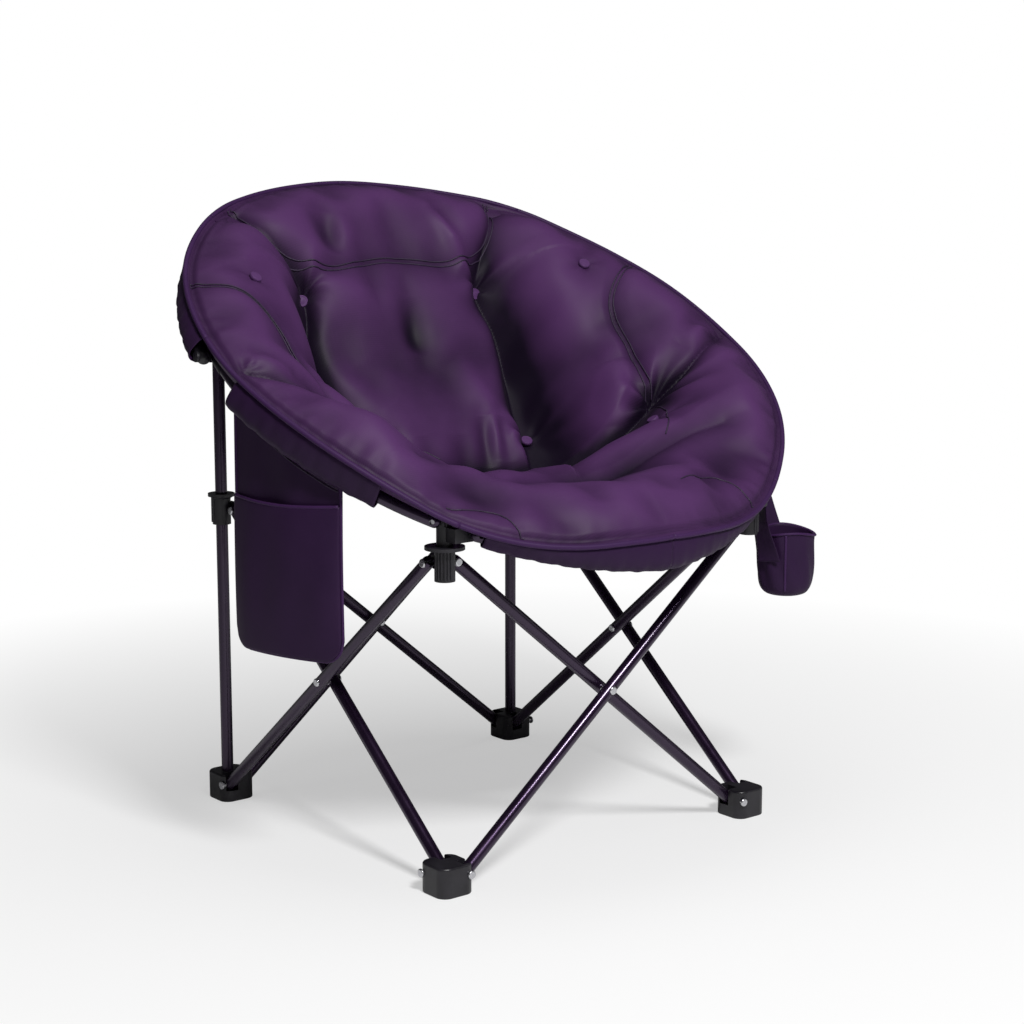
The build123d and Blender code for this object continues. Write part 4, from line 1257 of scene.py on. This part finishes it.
# %% Lamps, world and floor
def soft_lamp(name, place, size, power, target=(0.0, 0.0, 0.45)):
    data = bpy.data.lights.new(name, "AREA")
    data.shape, data.size, data.energy = "SQUARE", size, power
    lamp = bpy.data.objects.new(name, data)
    lamp.location = place
    lamp.rotation_euler = (Vector(target) - Vector(place)).to_track_quat("-Z", "Y").to_euler()
    bpy.context.scene.collection.objects.link(lamp)


soft_lamp("key_soft", (-0.6, -2.5, 2.9), 0.7, 125)
soft_lamp("fill_right", (2.8, -1.6, 1.4), 2.0, 5)
soft_lamp("top_soft", (-0.2, 0.2, 3.2), 1.6, 12)

world = bpy.data.worlds.new("studio")
bpy.context.scene.world = world
world.use_nodes = True
nodes, links = world.node_tree.nodes, world.node_tree.links
rays = nodes.new("ShaderNodeLightPath")
soft = nodes["Background"]
soft.inputs["Color"].default_value = (0.92, 0.92, 0.95, 1)
soft.inputs["Strength"].default_value = 0.06
bright = nodes.new("ShaderNodeBackground")
bright.inputs["Color"].default_value = (1, 1, 1, 1)
choose = nodes.new("ShaderNodeMixShader")
links.new(rays.outputs["Is Camera Ray"], choose.inputs[0])
links.new(soft.outputs[0], choose.inputs[1])
links.new(bright.outputs[0], choose.inputs[2])
links.new(choose.outputs[0], nodes["World Output"].inputs["Surface"])


def floor_paint():
    """White floor whose share of camera-only glow grows with the distance from the chair."""
    paint = Paint("floor_white", (0.93, 0.93, 0.93), 0.7)
    distance = paint.node("ShaderNodeVectorMath", {"operation": "LENGTH"}, {0: paint.place},
                          "Value")
    seen = paint.node("ShaderNodeLightPath", {}, {}, "Is Camera Ray")
    share = distance.spread(0.35, 1.5, 0.5, 1.0) * seen
    glow = paint.node("ShaderNodeEmission", {}, {"Color": (1, 1, 1, 1), "Strength": 1.0})
    plain = Signal(paint, paint.shader.outputs[0])
    mixed = paint.node("ShaderNodeMixShader", {}, {0: share, 1: plain, 2: glow})
    paint.tree.links.new(mixed.socket, paint.tree.nodes["Material Output"].inputs["Surface"])
    return paint.material


floor = new_mesh("floor", [(-8, -8, 0), (8, -8, 0), (8, 12, 0), (-8, 12, 0)],
                 [np.array([[0, 1, 2, 3]])], floor_paint())

# %% [markdown]
# ## Camera
# The camera stands where the photograph was taken from, found by fitting the chair's feet, hubs
# and tubes: about 39 degrees to the left of the front, 10 degrees up, 2.6 m away.

# %% Camera
AZIMUTH, ELEVATION = math.radians(-38.82), math.radians(9.649)
DISTANCE, FOCAL_PX, PICTURE_PX, SENSOR = 2.626, 2130.7, 1024, 36.0
TARGET = np.array([-0.1, SHIFT_Y - 0.189, 0.44])
camera_data = bpy.data.cameras.new("camera")
camera_data.sensor_width = SENSOR
camera_data.lens = FOCAL_PX / PICTURE_PX * SENSOR
camera = bpy.data.objects.new("camera", camera_data)
toward = np.array([math.sin(AZIMUTH) * math.cos(ELEVATION),
                   -math.cos(AZIMUTH) * math.cos(ELEVATION), math.sin(ELEVATION)])
camera.location = TARGET + toward * DISTANCE
camera.rotation_euler = (math.pi / 2 - ELEVATION, 0, AZIMUTH)
bpy.context.scene.collection.objects.link(camera)
bpy.context.scene.camera = camera
bpy.context.scene.view_settings.view_transform = "Standard"
